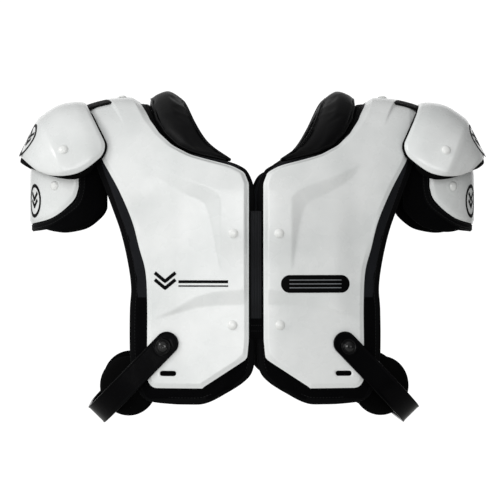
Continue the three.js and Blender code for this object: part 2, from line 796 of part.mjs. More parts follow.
// Climbs between a cup's or a pad's upper and lower edge: over the dome, then down its tube.
function cupClimbs(highest, lowest) {
  const seam = Math.max(1, (highest + lowest) / 2);
  const first = CUP_CLIMBS[0];
  const dome = CUP_CLIMBS.map((climb) => (
    highest + (climb - first) * (seam - highest) / (1 - first)
  ));
  return [...dome, ...CUP_TUBE_CELLS.map((share) => seam + (lowest - seam) * share)];
}

// Shoulder cup: moulded dome below the epaulet.
function shoulderCup() {
  const rows = mirrored(CUP_TURNS).map((turn, i, all) => {
    const lowest = climbAt(-CUP_DROP * read(CUP_EDGE, 'turn', Math.abs(turn), 'drop', true));
    const climbs = cupClimbs(CUP_CLIMBS[0], lowest);
    return climbs.map((climb, j) => {
      const edge = i === 0 || i === all.length - 1 || j === climbs.length - 1;
      return {
        a: climb,
        b: turn,
        top: edge ? EDGE_THICKNESS - CUP_THICKNESS : 0,
        bottom: -CUP_THICKNESS,
      };
    });
  });
  const tools = FACES.map(({ sign }) => shankHole(
    frameOn(cupForm, CUP_RIVET.climb, sign * CUP_RIVET.turn, 0, acrossAxis),
    RIVET_SHANK_RADIUS,
    2 * CUP_THICKNESS,
  ));
  return cut(layered(cupForm, rows), tools);
}

// Cup pad: foam pad inside the cup, reaching behind the body liner and lower at its ends.
function cupPad() {
  const rows = mirrored(CUP_PAD_TURNS).map((turn, i, all) => {
    const place = Math.abs(turn);
    const highest = read(CUP_PAD_TOP, 'turn', place, 'climb', false);
    const lowest = climbAt(-CUP_PAD_DROP * read(CUP_PAD_EDGE, 'turn', place, 'drop', true));
    const climbs = cupClimbs(highest, lowest);
    return climbs.map((climb, j) => {
      const end = i === 0 || i === all.length - 1;
      const edge = end || j === 0 || j === climbs.length - 1;
      const top = -CUP_THICKNESS - LAYER_GAP;
      const thickness = edge ? CUP_PAD_THICKNESS * PAD_EDGE_SHARE : CUP_PAD_THICKNESS;
      return { a: climb, b: turn, top, bottom: top - thickness };
    });
  });
  return layered(cupForm, rows);
}

// Sheet of one thickness over a form, between stations across and along.
function sheet(form, acrossPlaces, alongPlaces, bottom, thickness) {
  const rows = alongPlaces.map((b) => acrossPlaces.map((a) => (
    { a, b, top: bottom + thickness, bottom }
  )));
  return layered(form, rows);
}

function hingeWeb() {
  const span = HINGE_WEB_LANDS - HINGE_WEB_LEAVES;
  const across = [
    HINGE_WEB_START,
    (HINGE_WEB_START + HINGE_WEB_LEAVES) / 2,
    HINGE_WEB_LEAVES,
    HINGE_WEB_LEAVES + span / 2,
    HINGE_WEB_LANDS,
    HINGE_WEB_END,
  ];
  const half = HINGE_WEB_WIDTH / 2;
  const depths = mirrored([0, half / 3, 2 * half / 3, half]);
  return sheet(hingeForm, across, depths, LAYER_GAP, WEB_THICKNESS);
}

// Centre web: elastic between plates and liners, across the gap between the halves.
function centreWeb(sign) {
  const half = CENTRE_WEB_WIDTH / 2;
  const length = CENTRE_WEB_BOTTOM - CENTRE_WEB_TOP;
  const along = [0, 0.33, 0.67, 1].map((share) => sign * (CENTRE_WEB_TOP + share * length));
  const bottom = -PLATE_THICKNESS - LAYER_GAP - CENTRE_WEB_THICKNESS;
  return sheet(archForm, mirrored([0, half / 2, half]), along, bottom, CENTRE_WEB_THICKNESS);
}

// Side strap: one stiff strip bent round the side, round-ended beyond its screws.
function sideStrap() {
  const half = STRAP_WIDTH / 2;
  const ends = [80, 55, 30, 0].map((degrees) => {
    const angle = THREE.MathUtils.degToRad(degrees);
    const past = STRAP_PAST_SCREW + half * Math.sin(angle);
    return { run: strapHalfLength + past, width: half * Math.cos(angle) };
  });
  const bendFrom = strapHalfLength - STRAP_STRAIGHT;
  const bend = [0, 0.25, 0.5, 0.75, 1].map((share) => (
    { run: bendFrom - share * strapBendLength, width: half }
  ));
  const front = [...ends, ...bend];
  const stations = [...front, ...front.map(({ run, width }) => ({ run: -run, width })).reverse()];
  const rows = stations.map(({ run, width }) => [-width, 0, width].map((across) => (
    { a: across, b: run, top: STRAP_THICKNESS, bottom: 0 }
  )));
  const tools = FACES.map(({ sign }) => shankHole(
    frameOn(strapForm, 0, sign * strapHalfLength, 0, strapSide),
    SCREW_SHANK_RADIUS,
    2 * STRAP_THICKNESS,
  ));
  return cut(layered(strapForm, rows), tools);
}

function strapWasher(sign) {
  const seat = STRAP_THICKNESS + SEAT_GAP;
  const frame = frameOn(strapForm, 0, sign * strapHalfLength, seat, strapSide);
  return turned([
    { radius: SCREW_SHANK_RADIUS + SHANK_GAP, height: WASHER_THICKNESS },
    { radius: WASHER_RADIUS * 0.94, height: WASHER_THICKNESS },
    { radius: WASHER_RADIUS, height: 0 },
    { radius: SCREW_SHANK_RADIUS + SHANK_GAP, height: 0 },
  ], 10, frame);
}

function strapScrew(sign) {
  const seat = STRAP_THICKNESS + WASHER_THICKNESS + 2 * SEAT_GAP;
  const frame = frameOn(strapForm, 0, sign * strapHalfLength, seat, strapSide);
  const length = seat + LAYER_GAP + PLATE_THICKNESS - SHANK_SHORT;
  return turned([
    { radius: 0, height: SCREW_HEAD_HEIGHT },
    { radius: SCREW_HEAD_RADIUS * 0.6, height: SCREW_HEAD_HEIGHT * 0.84 },
    { radius: SCREW_HEAD_RADIUS, height: SCREW_HEAD_HEIGHT * 0.3 },
    { radius: SCREW_HEAD_RADIUS, height: 0 },
    { radius: SCREW_SHANK_RADIUS, height: 0 },
    { radius: SCREW_SHANK_RADIUS, height: -length },
    { radius: 0, height: -length },
  ], 8, frame);
}

// Rib pad: round pad behind the liner's lower outer corner.
function ribPad(sign) {
  const steps = [-1, -0.78, -0.3, 0.3, 0.78, 1];
  const top = -PLATE_THICKNESS - LINER_GAP - LINER_THICKNESS - RIB_PAD_GAP;
  const rows = steps.map((v) => steps.map((u) => {
    const roundU = u * Math.sqrt(1 - v * v / 2);
    const roundV = v * Math.sqrt(1 - u * u / 2);
    const edge = Math.max(Math.abs(u), Math.abs(v)) === 1;
    const thickness = edge ? RIB_PAD_THICKNESS * PAD_EDGE_SHARE : RIB_PAD_THICKNESS;
    return {
      a: RIB_PAD_ACROSS + RIB_PAD_RADIUS * roundU,
      b: sign * (RIB_PAD_ALONG + RIB_PAD_RADIUS * roundV),
      top,
      bottom: top - thickness,
    };
  }));
  return layered(archForm, rows);
}

for (const { name, sign } of SIDES) {
  add(`arch_plate_${name}`, archPlate(), polyethylene, sign);
  add(`body_liner_${name}`, bodyLiner(), knit, sign);
  add(`neck_collar_${name}`, neckCollar(), knit, sign);
  add(`epaulet_${name}`, epaulet(), polyethylene, sign);
  add(`epaulet_pad_${name}`, epauletPad(), foam, sign);
  add(`shoulder_cup_${name}`, shoulderCup(), polyethylene, sign);
  add(`cup_pad_${name}`, cupPad(), knit, sign);
  add(`hinge_web_${name}`, hingeWeb(), webbing, sign);
  add(`side_strap_${name}`, sideStrap(), strapPlastic, sign);
  const crest = frameOn(archForm, CREST_RIVET.across, CREST_RIVET.along, SEAT_GAP, acrossAxis);
  add(`crest_rivet_${name}`, rivet(crest), nylon, sign);
  for (const face of FACES) {
    const place = `${face.name}_${name}`;
    add(`rib_pad_${place}`, ribPad(face.sign), foam, sign);
    add(`strap_washer_${place}`, strapWasher(face.sign), strapPlastic, sign);
    add(`strap_screw_${place}`, strapScrew(face.sign), steel, sign);
    for (const { name: row, along, across } of PLATE_RIVETS) {
      const frame = frameOn(archForm, across, face.sign * along, SEAT_GAP, acrossAxis);
      add(`plate_rivet_${row}_${place}`, rivet(frame), nylon, sign);
    }
    const epauletTurn = face.sign * EPAULET_RIVET.turn;
    const onEpaulet = frameOn(epauletForm, EPAULET_RIVET.side, epauletTurn, SEAT_GAP, acrossAxis);
    add(`epaulet_rivet_${place}`, rivet(onEpaulet), nylon, sign);
    const cupTurn = face.sign * CUP_RIVET.turn;
    const onCup = frameOn(cupForm, CUP_RIVET.climb, cupTurn, SEAT_GAP, acrossAxis);
    add(`cup_rivet_${place}`, rivet(onCup), nylon, sign);
  }
}
for (const face of FACES) {
  add(`centre_web_${face.name}`, centreWeb(face.sign), webbing, 1);
}

export default group;
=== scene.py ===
import math

import bmesh
import bpy
import numpy as np
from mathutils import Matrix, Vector


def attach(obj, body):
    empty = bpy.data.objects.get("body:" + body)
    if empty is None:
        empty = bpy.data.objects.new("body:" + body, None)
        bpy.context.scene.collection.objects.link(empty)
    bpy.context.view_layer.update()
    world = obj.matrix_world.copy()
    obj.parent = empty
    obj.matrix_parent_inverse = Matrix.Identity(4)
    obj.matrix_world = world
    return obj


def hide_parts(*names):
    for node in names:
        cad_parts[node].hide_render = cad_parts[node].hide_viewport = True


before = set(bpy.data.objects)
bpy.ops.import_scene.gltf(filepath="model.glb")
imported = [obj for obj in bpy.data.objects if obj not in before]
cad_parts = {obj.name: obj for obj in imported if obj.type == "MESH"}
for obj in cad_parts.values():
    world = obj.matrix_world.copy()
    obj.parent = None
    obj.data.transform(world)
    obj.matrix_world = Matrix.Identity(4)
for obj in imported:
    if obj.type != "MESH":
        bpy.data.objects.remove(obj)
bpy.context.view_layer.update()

# Arch plates: two mirrored halves of white moulded polyethylene, 1.8 mm thick, with a bevelled
# rim, a raised flange round a sunken panel, a step below the chest and two hook slots each.
# Places on them are mm across from the middle and mm along from the shoulder, to the front.
MM = 0.001
HANDS = (("left", "l", -1), ("right", "r", 1))
CREST, KNEE = 28, -92
CREST_MIDDLE, CREST_REACH = 150, 48
CHEST_DEPTH, DEPTH_LOST, WRAP_WIDTH, WRAP_POWER = 135, 45, 200, 1.6
ARCH_PATH, LEG_LENGTH, LEG_FLARE = 190, 221, 10
PLATE_THICK = 1.8
PLATE_PATH, PLATE_WIDTH = 411, 198
PLATE_INNER = (
    (0, 0.692), (0.081, 0.678), (0.117, 0.665), (0.198, 0.622), (0.255, 0.568), (0.3, 0.491),
    (0.331, 0.385), (0.349, 0.256), (0.362, 0.145), (0.383, 0.069), (0.419, 0.043),
    (0.864, 0.044), (0.916, 0.054), (1, 0.322),
)
PLATE_OUTER = (
    (0, 0.99), (0.12, 0.988), (0.24, 0.962), (0.346, 0.905), (0.38, 0.872), (0.443, 0.805),
    (0.529, 0.729), (0.608, 0.685), (0.668, 0.651), (0.75, 0.64), (0.891, 0.64),
    (0.966, 0.64), (0.983, 0.632), (0.993, 0.617), (0.998, 0.6), (1, 0.582),
)
PANEL_OUTER = (
    (40.7, 274.4), (40.72, 228), (40.74, 191), (47, 183), (58.2, 176.9), (74.7, 171.6),
    (95.5, 164.1), (114, 154.5), (128.6, 145.2),
)
PANEL_INNER = (
    (41.3, 273.1), (44, 258.1), (47.9, 235.3), (52.2, 214.6), (55.2, 204.5), (59.2, 197.1),
    (66.4, 192.2), (80, 186.5), (95.5, 178.2), (111.1, 167.6), (121.3, 157.5),
)
STEP_UPPER = ((8, 296.5), (16.5, 297.3), (49.9, 300.8), (67.4, 305.6), (93.9, 320.1), (121, 332))
STEP_LOWER = ((8, 313.5), (16.5, 313.9), (49.9, 314.8), (67.4, 317), (93.9, 324.5), (121, 332.4))
SLOT = (102, 394, 6.5, 3)


def read(table, place, column=1, smooth=True):
    """A column of a table at each place, on a smooth or a straight line through its rows."""
    rows = np.array(table, float)
    keys, values = rows[:, 0], rows[:, column]
    place = np.asarray(place, float)
    i = np.clip(np.searchsorted(keys, place, side="right") - 1, 0, len(keys) - 2)
    span = keys[i + 1] - keys[i]
    t = (place - keys[i]) / span
    straight = values[i] + (values[i + 1] - values[i]) * t
    if not smooth:
        return straight
    before, after = np.maximum(i - 1, 0), np.minimum(i + 2, len(keys) - 1)
    slope_from = span * (values[i + 1] - values[before]) / (keys[i + 1] - keys[before])
    slope_to = span * (values[after] - values[i]) / (keys[after] - keys[i])
    a = 2 * values[i] - 2 * values[i + 1] + slope_from + slope_to
    b = 3 * values[i + 1] - 3 * values[i] - 2 * slope_from - slope_to
    bent = ((a * t + b) * t + slope_from) * t + values[i]
    return np.where((t < 0) | (t > 1), straight, bent)


def ease(value):
    """A smooth step from 0 to 1."""
    t = np.clip(value, 0, 1)
    return t * t * (3 - 2 * t)


def unit(vectors):
    return vectors / np.maximum(np.linalg.norm(vectors, axis=-1, keepdims=True), 1e-9)


def paired(a, b):
    """Two places or tables of places as floats of one shape."""
    return np.broadcast_arrays(np.asarray(a, float), np.asarray(b, float))


def half_depth(across):
    return CHEST_DEPTH - DEPTH_LOST * np.abs(across / WRAP_WIDTH) ** WRAP_POWER


def crest_height(across):
    fall = np.where(across > CREST_MIDDLE, 8.5, 1)
    return CREST - fall * ((across - CREST_MIDDLE) / CREST_REACH) ** 2


def arch(across, along):
    """The smooth arch over chest, shoulder and back."""
    across, along = paired(across, along)
    turn = np.minimum(np.abs(along) / ARCH_PATH, 1) * math.pi / 2
    leg = np.maximum(np.abs(along) - ARCH_PATH, 0)
    depth = half_depth(across) * np.sin(turn) + LEG_FLARE * (leg / LEG_LENGTH) ** 2
    height = KNEE + (crest_height(across) - KNEE) * np.cos(turn) - leg
    return np.stack([across, -depth * np.sign(along), height], -1)


arch.steps = (0.5, 0.5)


def normal_of(form, a, b):
    """The outward normal of a form, by small steps each way."""
    step_a, step_b = form.steps
    along_a = form(a + step_a, b) - form(a - step_a, b)
    along_b = form(a, b + step_b) - form(a, b - step_b)
    return unit(np.cross(along_b, along_a))


def raised(form, a, b, height):
    """Points at a height in mm over a form."""
    a, b = paired(a, b)
    height = np.broadcast_to(height, a.shape)
    return form(a, b) + normal_of(form, a, b) * height[..., None]


def distance(places, line):
    """How far each place on a flat map lies from a line of straight pieces."""
    line = np.array(line, float)
    start, step = line[:-1], np.diff(line, axis=0)
    nearest = []
    for part in np.array_split(places.reshape(-1, 2), 60):
        gap = part[:, None] - start
        share = np.clip((gap * step).sum(-1) / np.maximum((step**2).sum(-1), 1e-9), 0, 1)
        nearest.append(np.linalg.norm(gap - share[..., None] * step, axis=-1).min(1))
    return np.concatenate(nearest).reshape(places.shape[:-1])


def softened(table, along, path, width):
    """An edge given by straight pieces, with its corners eased."""
    around = np.linspace(-2.5, 2.5, 7)
    places = np.abs(np.asarray(along, float))[..., None] + around
    return width * read(table, np.clip(np.abs(places) / path, 0, 1), 1, False).mean(-1)


def plate_relief(across, along):
    """Moulded relief over the arch: sunken panel, chest step and shoulder band."""
    run = np.abs(along)
    places = np.stack(np.broadcast_arrays(across, run), -1)
    outer, inner = np.array(PANEL_OUTER), np.array(PANEL_INNER)
    past_outer = run > np.interp(across, outer[:, 0], outer[:, 1], left=1e4)
    past_inner = run > np.interp(across, inner[:, 0], inner[:, 1], left=1e4)
    to_outer, to_inner = distance(places, outer), distance(places, inner)
    slope = to_outer / np.maximum(to_outer + to_inner, 1e-6)
    sunk = np.where(past_inner, 1, np.where(past_outer, slope, 0))
    from_tip = (across - 128.6) * -0.843 + (run - 145.2) * 0.537
    panel = ease(from_tip / 42) * ease((282 - run) / 70)
    upper = np.interp(across, *np.array(STEP_UPPER).T)
    lower = np.interp(across, *np.array(STEP_LOWER).T)
    below = np.clip((run - upper) / np.maximum(lower - upper, 0.5), 0, 1)
    chest = ease((run - 150) / 80) * (1 - below) * ease((124 - across) / 34)
    ridge = 171.2 - (run - 35.4) * 0.272
    band = ease((ridge - across) / 2.4) * (1 - ease((run - 40) / 60))
    return 3 * chest + panel * (2.3 - 5 * sunk) + 2.8 * band


def beyond_slot(across, along):
    """How far outside a hook slot a place lies, in mm."""
    x, y, half, radius = SLOT
    return np.hypot(np.maximum(np.abs(across - x) - half, 0), np.abs(along) - y) - radius


def plate_height(across, along, outline):
    """Height of the plate's outside, with its rim and the edges of its slots turned down."""
    run = np.abs(along)
    from_rim = distance(np.stack([across, run], -1), outline)
    wide = 4.2 + 3.6 * (1 - ease((run - 60) / 70))
    rise = np.clip((from_rim - 1.1) / wide, 0, 1)
    rise = np.where(from_rim > wide + 1.1, 1, 0.9 * rise + 0.1 * ease(rise))
    lip = 0.25 * ease(1 - from_rim / 1.1)
    height = -PLATE_THICK + (PLATE_THICK + plate_relief(across, along)) * rise - lip
    return height - 0.6 * (1 - ease((beyond_slot(across, along) - 0.3) / 1.6))


def mirrored(half):
    """Carries a run of places that starts at zero over to the other side."""
    return np.concatenate([-half[:0:-1], half])


def stations(*parts):
    """Places from runs of (start, end, step), mirrored to the back."""
    runs = [np.linspace(a, b, max(2, round((b - a) / s)) + 1)[:-1] for a, b, s in parts]
    front = np.append(np.concatenate(runs), parts[-1][1])
    return mirrored(front)


def linear(colour):
    parts = [int(colour[i:i + 2], 16) / 255 for i in (1, 3, 5)]
    return [p / 12.92 if p <= 0.04045 else ((p + 0.055) / 1.055) ** 2.4 for p in parts] + [1]


def node(material, kind, values=None, links=None, **settings):
    """Adds a shader node of a kind, with its input values, links from other nodes and settings."""
    tree = material.node_tree
    new = tree.nodes.new("ShaderNode" + kind)
    for name, value in settings.items():
        setattr(new, name, value)
    for name, value in (values or {}).items():
        new.inputs[name].default_value = value
    for name, (source, output) in (links or {}).items():
        tree.links.new(source.outputs[output], new.inputs[name])
    return new


def ramp(material, source, stops):
    """Turns a grey output into colours between stops of (position, hex colour)."""
    new = node(material, "ValToRGB", links={"Fac": source})
    elements = new.color_ramp.elements
    while len(elements) < len(stops):
        elements.new(0.5)
    for element, (position, colour) in zip(elements, stops):
        element.position = position
        element.color = linear(colour)
    return new, "Color"


def material_of(name):
    material = bpy.data.materials.new(name)
    material.use_nodes = True
    return material, material.node_tree.nodes["Principled BSDF"]


def place_in(material, output, scale=(1, 1, 1)):
    where = node(material, "TexCoord")
    mapping = node(
        material, "Mapping", {"Scale": scale}, {"Vector": (where, output)}
    )
    return mapping, "Vector"


def finish_surface(material, shader, heights, **values):
    """Sets a shader's plain values and gives it one bump from (output, depth in mm) pairs."""
    tree = material.node_tree
    last = None
    for source, depth in heights:
        links = {"Height": source}
        if last:
            links["Normal"] = (last, "Normal")
        last = node(
            material, "Bump", {"Strength": 1.0, "Distance": depth * MM}, links
        )
    if last:
        tree.links.new(last.outputs["Normal"], shader.inputs["Normal"])
    for name, value in values.items():
        shader.inputs[name.replace("_", " ")].default_value = value


def per(size):
    """The scale of a pattern whose marks are a size in mm apart."""
    return 1 / (size * MM)


def moulded(name, light, dark, rough):
    """Moulded plastic: faint mottling, orange peel, fine scuffs and rubbed patches."""
    material, shader = material_of(name)
    tree = material.node_tree
    spot = place_in(material, "Object")
    mottle = node(
        material, "TexNoise", {"Scale": per(58.8), "Detail": 4.0}, {"Vector": spot}
    )
    tone = ramp(material, (mottle, "Fac"), ((0.3, dark), (0.62, light)))
    streak = place_in(material, "Object", (per(33.3), per(33.3), per(2.38)))
    lines = node(
        material, "TexNoise", {"Scale": 5.0, "Detail": 3.0, "Distortion": 1.2}, {"Vector": streak}
    )
    scuff = node(
        material, "MapRange", {"From Min": 0.66, "From Max": 0.74}, {"Value": (lines, "Fac")}
    )
    rubbed = node(material, "TexNoise", {"Scale": per(23.8), "Detail": 6.0}, {"Vector": spot})
    base = node(
        material, "MapRange", {"To Min": rough - 0.06, "To Max": rough + 0.09},
        {"Value": (rubbed, "Fac")},
    )
    worn = node(
        material, "Math", {1: 0.12}, {0: (scuff, "Result"), 2: (base, "Result")},
        operation="MULTIPLY_ADD",
    )
    tree.links.new(tone[0].outputs["Color"], shader.inputs["Base Color"])
    tree.links.new(worn.outputs["Value"], shader.inputs["Roughness"])
    peel = node(material, "TexNoise", {"Scale": per(1.43), "Detail": 2.0}, {"Vector": spot})
    wave = node(material, "TexNoise", {"Scale": per(18.2), "Detail": 1.0}, {"Vector": spot})
    heights = (((wave, "Fac"), 0.25), ((peel, "Fac"), 0.018), ((scuff, "Result"), 0.02))
    finish_surface(
        material, shader, heights, Specular_IOR_Level=0.5, Coat_Weight=0.25, Coat_Roughness=0.1
    )
    return material


def add_mesh(name, points, faces, material, hand=1, uv=None):
    """A smooth mesh from points in mm; hand -1 makes the left one, as a mirror image."""
    points = np.asarray(points, float).reshape(-1, 3) * (MM * np.array([hand, 1, 1]))
    faces = [list(f)[::-1] if hand < 0 else list(f) for f in faces]
    mesh = bpy.data.meshes.new(name)
    mesh.from_pydata(points.tolist(), [], faces)
    if uv is not None:
        uv = uv[:, ::-1] if hand < 0 else uv
        layer = mesh.uv_layers.new(name="cloth")
        layer.data.foreach_set("uv", np.ascontiguousarray(uv, dtype=np.float32).ravel())
    mesh.polygons.foreach_set("use_smooth", [True] * len(mesh.polygons))
    mesh.materials.append(material)
    mesh.update()
    piece = bpy.data.objects.new(name, mesh)
    bpy.context.scene.collection.objects.link(piece)
    return piece


def surface(name, points, material, hand=1, uv=None, closed=(False, False), gone=None):
    """A mesh through rows and columns of points; closed joins the last to the first."""
    rows, columns = points.shape[:2]
    i, j = np.meshgrid(
        np.arange(rows - (not closed[0])), np.arange(columns - (not closed[1])), indexing="ij"
    )
    near = [(i, j), (i + 1, j), (i + 1, j + 1), (i, j + 1)]
    quads = np.stack([(a % rows) * columns + b % columns for a, b in near], -1)
    if gone is not None:
        quads = quads[~gone]
    loops = None if uv is None else np.stack([uv[a, b] for a, b in near], -2).reshape(-1, 4, 2)
    return add_mesh(name, points, quads.reshape(-1, 4).tolist(), material, hand, loops)


def settled(piece):
    """Applies a piece's modifiers."""
    bpy.context.view_layer.update()
    graph = bpy.context.evaluated_depsgraph_get()
    mesh = bpy.data.meshes.new_from_object(piece.evaluated_get(graph))
    piece.modifiers.clear()
    piece.data = mesh
    return piece


def thickened(piece, thickness):
    """Gives a sheet its thickness, inwards."""
    shell = piece.modifiers.new("thickness", "SOLIDIFY")
    shell.thickness = thickness * MM
    shell.offset = -1
    return settled(piece)


def fixed(piece, nodes=()):
    """Fixes a piece to the pad and hides the drafted parts that it stands for."""
    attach(piece, "root")
    if nodes:
        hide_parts(*nodes)
    return piece


# White polyethylene, injection moulded: bright and smooth, with soft wide highlights.
plate_plastic = moulded("moulded_polyethylene", "#eceeed", "#dfe2e1", 0.26)
plate_rows = stations(
    (0, 118, 3.4), (118, 132, 2), (132, 206, 1.4), (206, 290, 3), (290, 336, 1.7),
    (336, 384, 3), (384, 404, 1.5), (404, PLATE_PATH, 0.8),
)
rim = np.array([0, 0.6, 1.1, 2.2, 3.3, 4.4, 5.1, 5.7, 6.8])
inner = softened(PLATE_INNER, plate_rows, PLATE_PATH, PLATE_WIDTH)
outer = PLATE_WIDTH * read(PLATE_OUTER, np.abs(plate_rows) / PLATE_PATH)
middle = np.linspace(0, 1, 67)[1:-1]
plate_across = np.concatenate(
    [
        inner[:, None] + rim,
        inner[:, None] + rim[-1] + (outer - inner - 2 * rim[-1])[:, None] * middle,
        outer[:, None] - rim[::-1],
    ],
    1,
)
plate_along = np.broadcast_to(plate_rows[:, None], plate_across.shape).copy()
front = plate_rows >= 0
plate_outline = np.concatenate(
    [
        np.stack([inner[front], plate_rows[front]], -1),
        np.stack([outer[front], plate_rows[front]], -1)[::-1],
    ]
)
clear = beyond_slot(plate_across, plate_along)
slot_faces = clear[:-1, :-1] + clear[1:, :-1] + clear[1:, 1:] + clear[:-1, 1:] < 0
around = np.pad(slot_faces.astype(int), 1)
touching = around[:-1, :-1] + around[1:, :-1] + around[1:, 1:] + around[:-1, 1:]
on_slot = (touching > 0) & (touching < 4)
away_x = np.sign(plate_across - SLOT[0]) * np.maximum(np.abs(plate_across - SLOT[0]) - SLOT[2], 0)
away_y = np.sign(plate_along) * (np.abs(plate_along) - SLOT[1])
size = np.maximum(np.hypot(away_x, away_y), 1e-6)
plate_across = np.where(on_slot, plate_across - away_x / size * clear, plate_across)
plate_along = np.where(on_slot, plate_along - away_y / size * clear, plate_along)
plate_points = raised(
    arch, plate_across, plate_along, plate_height(plate_across, plate_along, plate_outline)
)
for word, letter, hand in HANDS:
    plate = surface(f"arch_plate_{word}", plate_points, plate_plastic, hand, gone=slot_faces)
    fixed(thickened(plate, PLATE_THICK), [f"arch_plate_{letter}"])


# Body liners: a quilted foam pad under each plate in charcoal knit, with a matte black lower
# section, sewn in channels across and bound all round with tape held by a line of stitches.
LINER_PATH, LINER_WIDTH = 429, 196
LINER_INNER = (
    (0, 0.633), (0.112, 0.622), (0.189, 0.597), (0.245, 0.546), (0.287, 0.469), (0.31, 0.367),
    (0.321, 0.245), (0.328, 0.153), (0.34, 0.097), (0.352, 0.056), (0.374, 0.036), (0.4, 0.017),
    (0.436, 0.008), (0.88, 0.008), (0.902, 0.019), (0.92, 0.03), (0.945, 0.093), (0.975, 0.204),
    (0.996, 0.288), (1, 0.345),
)
LINER_OUTER = (
    (0, 1), (0.2, 0.99), (0.342, 0.959), (0.413, 0.91), (0.473, 0.862), (0.528, 0.818),
    (0.585, 0.785), (0.65, 0.758), (0.696, 0.749), (0.737, 0.757), (0.865, 0.757), (0.916, 0.744),
    (0.96, 0.712), (0.988, 0.67), (0.996, 0.6), (1, 0.482),
)
LINER_SEAM = 306
CHANNELS = (0, 62, 118, 178, 222, 264, 306, 346, 384)
FILL_PRESSURE, FILL_SLACK, FILL_FRAMES, MOST_SLIDE = 4.0, 0.02, 20, 2.5


def liner_edge(table, along, smooth):
    if not smooth:
        return softened(table, along, LINER_PATH, LINER_WIDTH)
    return LINER_WIDTH * read(table, np.abs(along) / LINER_PATH)


def below_web(across, along):
    """How much lower the liner lies where the elastic crosses it."""
    return 2.0 * (1 - ease((across - 28) / 9)) * ease((np.abs(along) - 188) / 12)


def woven(name, light, dark, pitch, depth, rough, sheen, shine, slant=False):
    """Cloth with crossing yarns at a pitch in mm, worn and linted unevenly.

    The wave texture repeats 20 / tau times over one unit of its scale, and the cloth's UV is in mm.
    """
    material, shader = material_of(name)
    tree = material.node_tree
    cloth = place_in(material, "UV")
    if slant:
        cloth[0].inputs["Rotation"].default_value = (0, 0, math.radians(45))
    waves = [
        node(
            material, "TexWave",
            {"Scale": math.tau / 20 / size, "Distortion": 0.15, "Detail": 1.0}, {"Vector": cloth},
            bands_direction=direction,
        )
        for direction, size in zip("XY", pitch)
    ]
    yarn = node(
        material, "Math", links={0: (waves[0], "Fac"), 1: (waves[1], "Fac")}, operation="MULTIPLY"
    )
    spot = place_in(material, "Object")
    wear = node(material, "TexNoise", {"Scale": per(38.5), "Detail": 5.0}, {"Vector": spot})
    mix = node(
        material, "Math", links={0: (yarn, "Value"), 1: (wear, "Fac")}, operation="MULTIPLY"
    )
    tone = ramp(material, (mix, "Value"), ((0.08, dark), (0.5, light)))
    tree.links.new(tone[0].outputs["Color"], shader.inputs["Base Color"])
    crease = node(material, "TexNoise", {"Scale": per(16.67), "Detail": 3.0}, {"Vector": spot})
    heights = (((crease, "Fac"), 1.1), ((yarn, "Value"), depth))
    finish_surface(
        material, shader, heights, Roughness=rough, Specular_IOR_Level=shine,
        Sheen_Weight=sheen, Sheen_Roughness=0.5,
    )
    return material


def slab(name, form, a, b, top, bottom, material, hand=1, uv=None):
    """A closed pad between two heights over a form, at rows and columns of places."""
    rows, columns = a.shape
    both = np.stack([raised(form, a, b, top), raised(form, a, b, bottom)])
    index = np.arange(rows * columns).reshape(rows, columns)
    low = index + rows * columns
    faces = [np.stack([index[:-1, :-1], index[1:, :-1], index[1:, 1:], index[:-1, 1:]], -1)]
    faces.append(np.stack([low[:-1, :-1], low[:-1, 1:], low[1:, 1:], low[1:, :-1]], -1))
    for edge, under, turn in (
        (index[:, 0], low[:, 0], 1), (index[:, -1], low[:, -1], -1),
        (index[0], low[0], -1), (index[-1], low[-1], 1),
    ):
        quad = np.stack([edge[:-1], under[:-1], under[1:], edge[1:]], -1)
        faces.append(quad[:, ::turn])
    quads = np.concatenate([f.reshape(-1, 4) for f in faces])
    flat = np.tile((uv if uv is not None else np.stack([a, b], -1)).reshape(-1, 2), (2, 1))
    return add_mesh(name, both, quads.tolist(), material, hand, flat[quads])


def swell(piece, sewn, room):
    """Fills a sewn pad: cloth under pressure, its seams held, each point kept within its room."""
    count = len(piece.data.vertices)
    start = np.empty(count * 3)
    piece.data.vertices.foreach_get("co", start)
    normals = np.empty(count * 3)
    piece.data.vertices.foreach_get("normal", normals)
    start, normals = start.reshape(-1, 3), normals.reshape(-1, 3)
    seams = piece.vertex_groups.new(name="sewn")
    seams.add(np.nonzero(sewn)[0].tolist(), 1.0, "REPLACE")
    cloth = piece.modifiers.new("filling", "CLOTH")
    cloth.settings.quality = 4
    cloth.settings.mass = 0.3
    cloth.settings.vertex_group_mass = "sewn"
    cloth.settings.use_pressure = True
    cloth.settings.uniform_pressure_force = FILL_PRESSURE
    cloth.settings.shrink_min = -FILL_SLACK
    cloth.settings.effector_weights.gravity = 0
    cloth.collision_settings.use_collision = False
    cloth.point_cache.frame_start, cloth.point_cache.frame_end = 1, FILL_FRAMES
    for step in range(1, FILL_FRAMES + 1):
        bpy.context.scene.frame_set(step)
    graph = bpy.context.evaluated_depsgraph_get()
    filled = np.empty(count * 3)
    piece.evaluated_get(graph).data.vertices.foreach_get("co", filled)
    piece.modifiers.clear()
    bpy.context.scene.frame_set(1)
    moved = np.nan_to_num(filled.reshape(-1, 3) - start)
    out = (moved * normals).sum(-1)
    slide = moved - out[:, None] * normals
    length = np.maximum(np.linalg.norm(slide, axis=1), 1e-9)
    slide *= np.minimum(1, MOST_SLIDE * MM / length)[:, None]
    room = np.broadcast_to(room, count) * MM
    out = room * np.tanh(np.clip(out, -room / 2, None) / np.maximum(room, 1e-6))
    piece.data.vertices.foreach_set("co", (start + slide + out[:, None] * normals).ravel())
    piece.data.update()
    return piece


def rounded(piece):
    """Subdivides a pad once."""
    finer = piece.modifiers.new("rounding", "SUBSURF")
    finer.levels = finer.render_levels = 1
    return settled(piece)


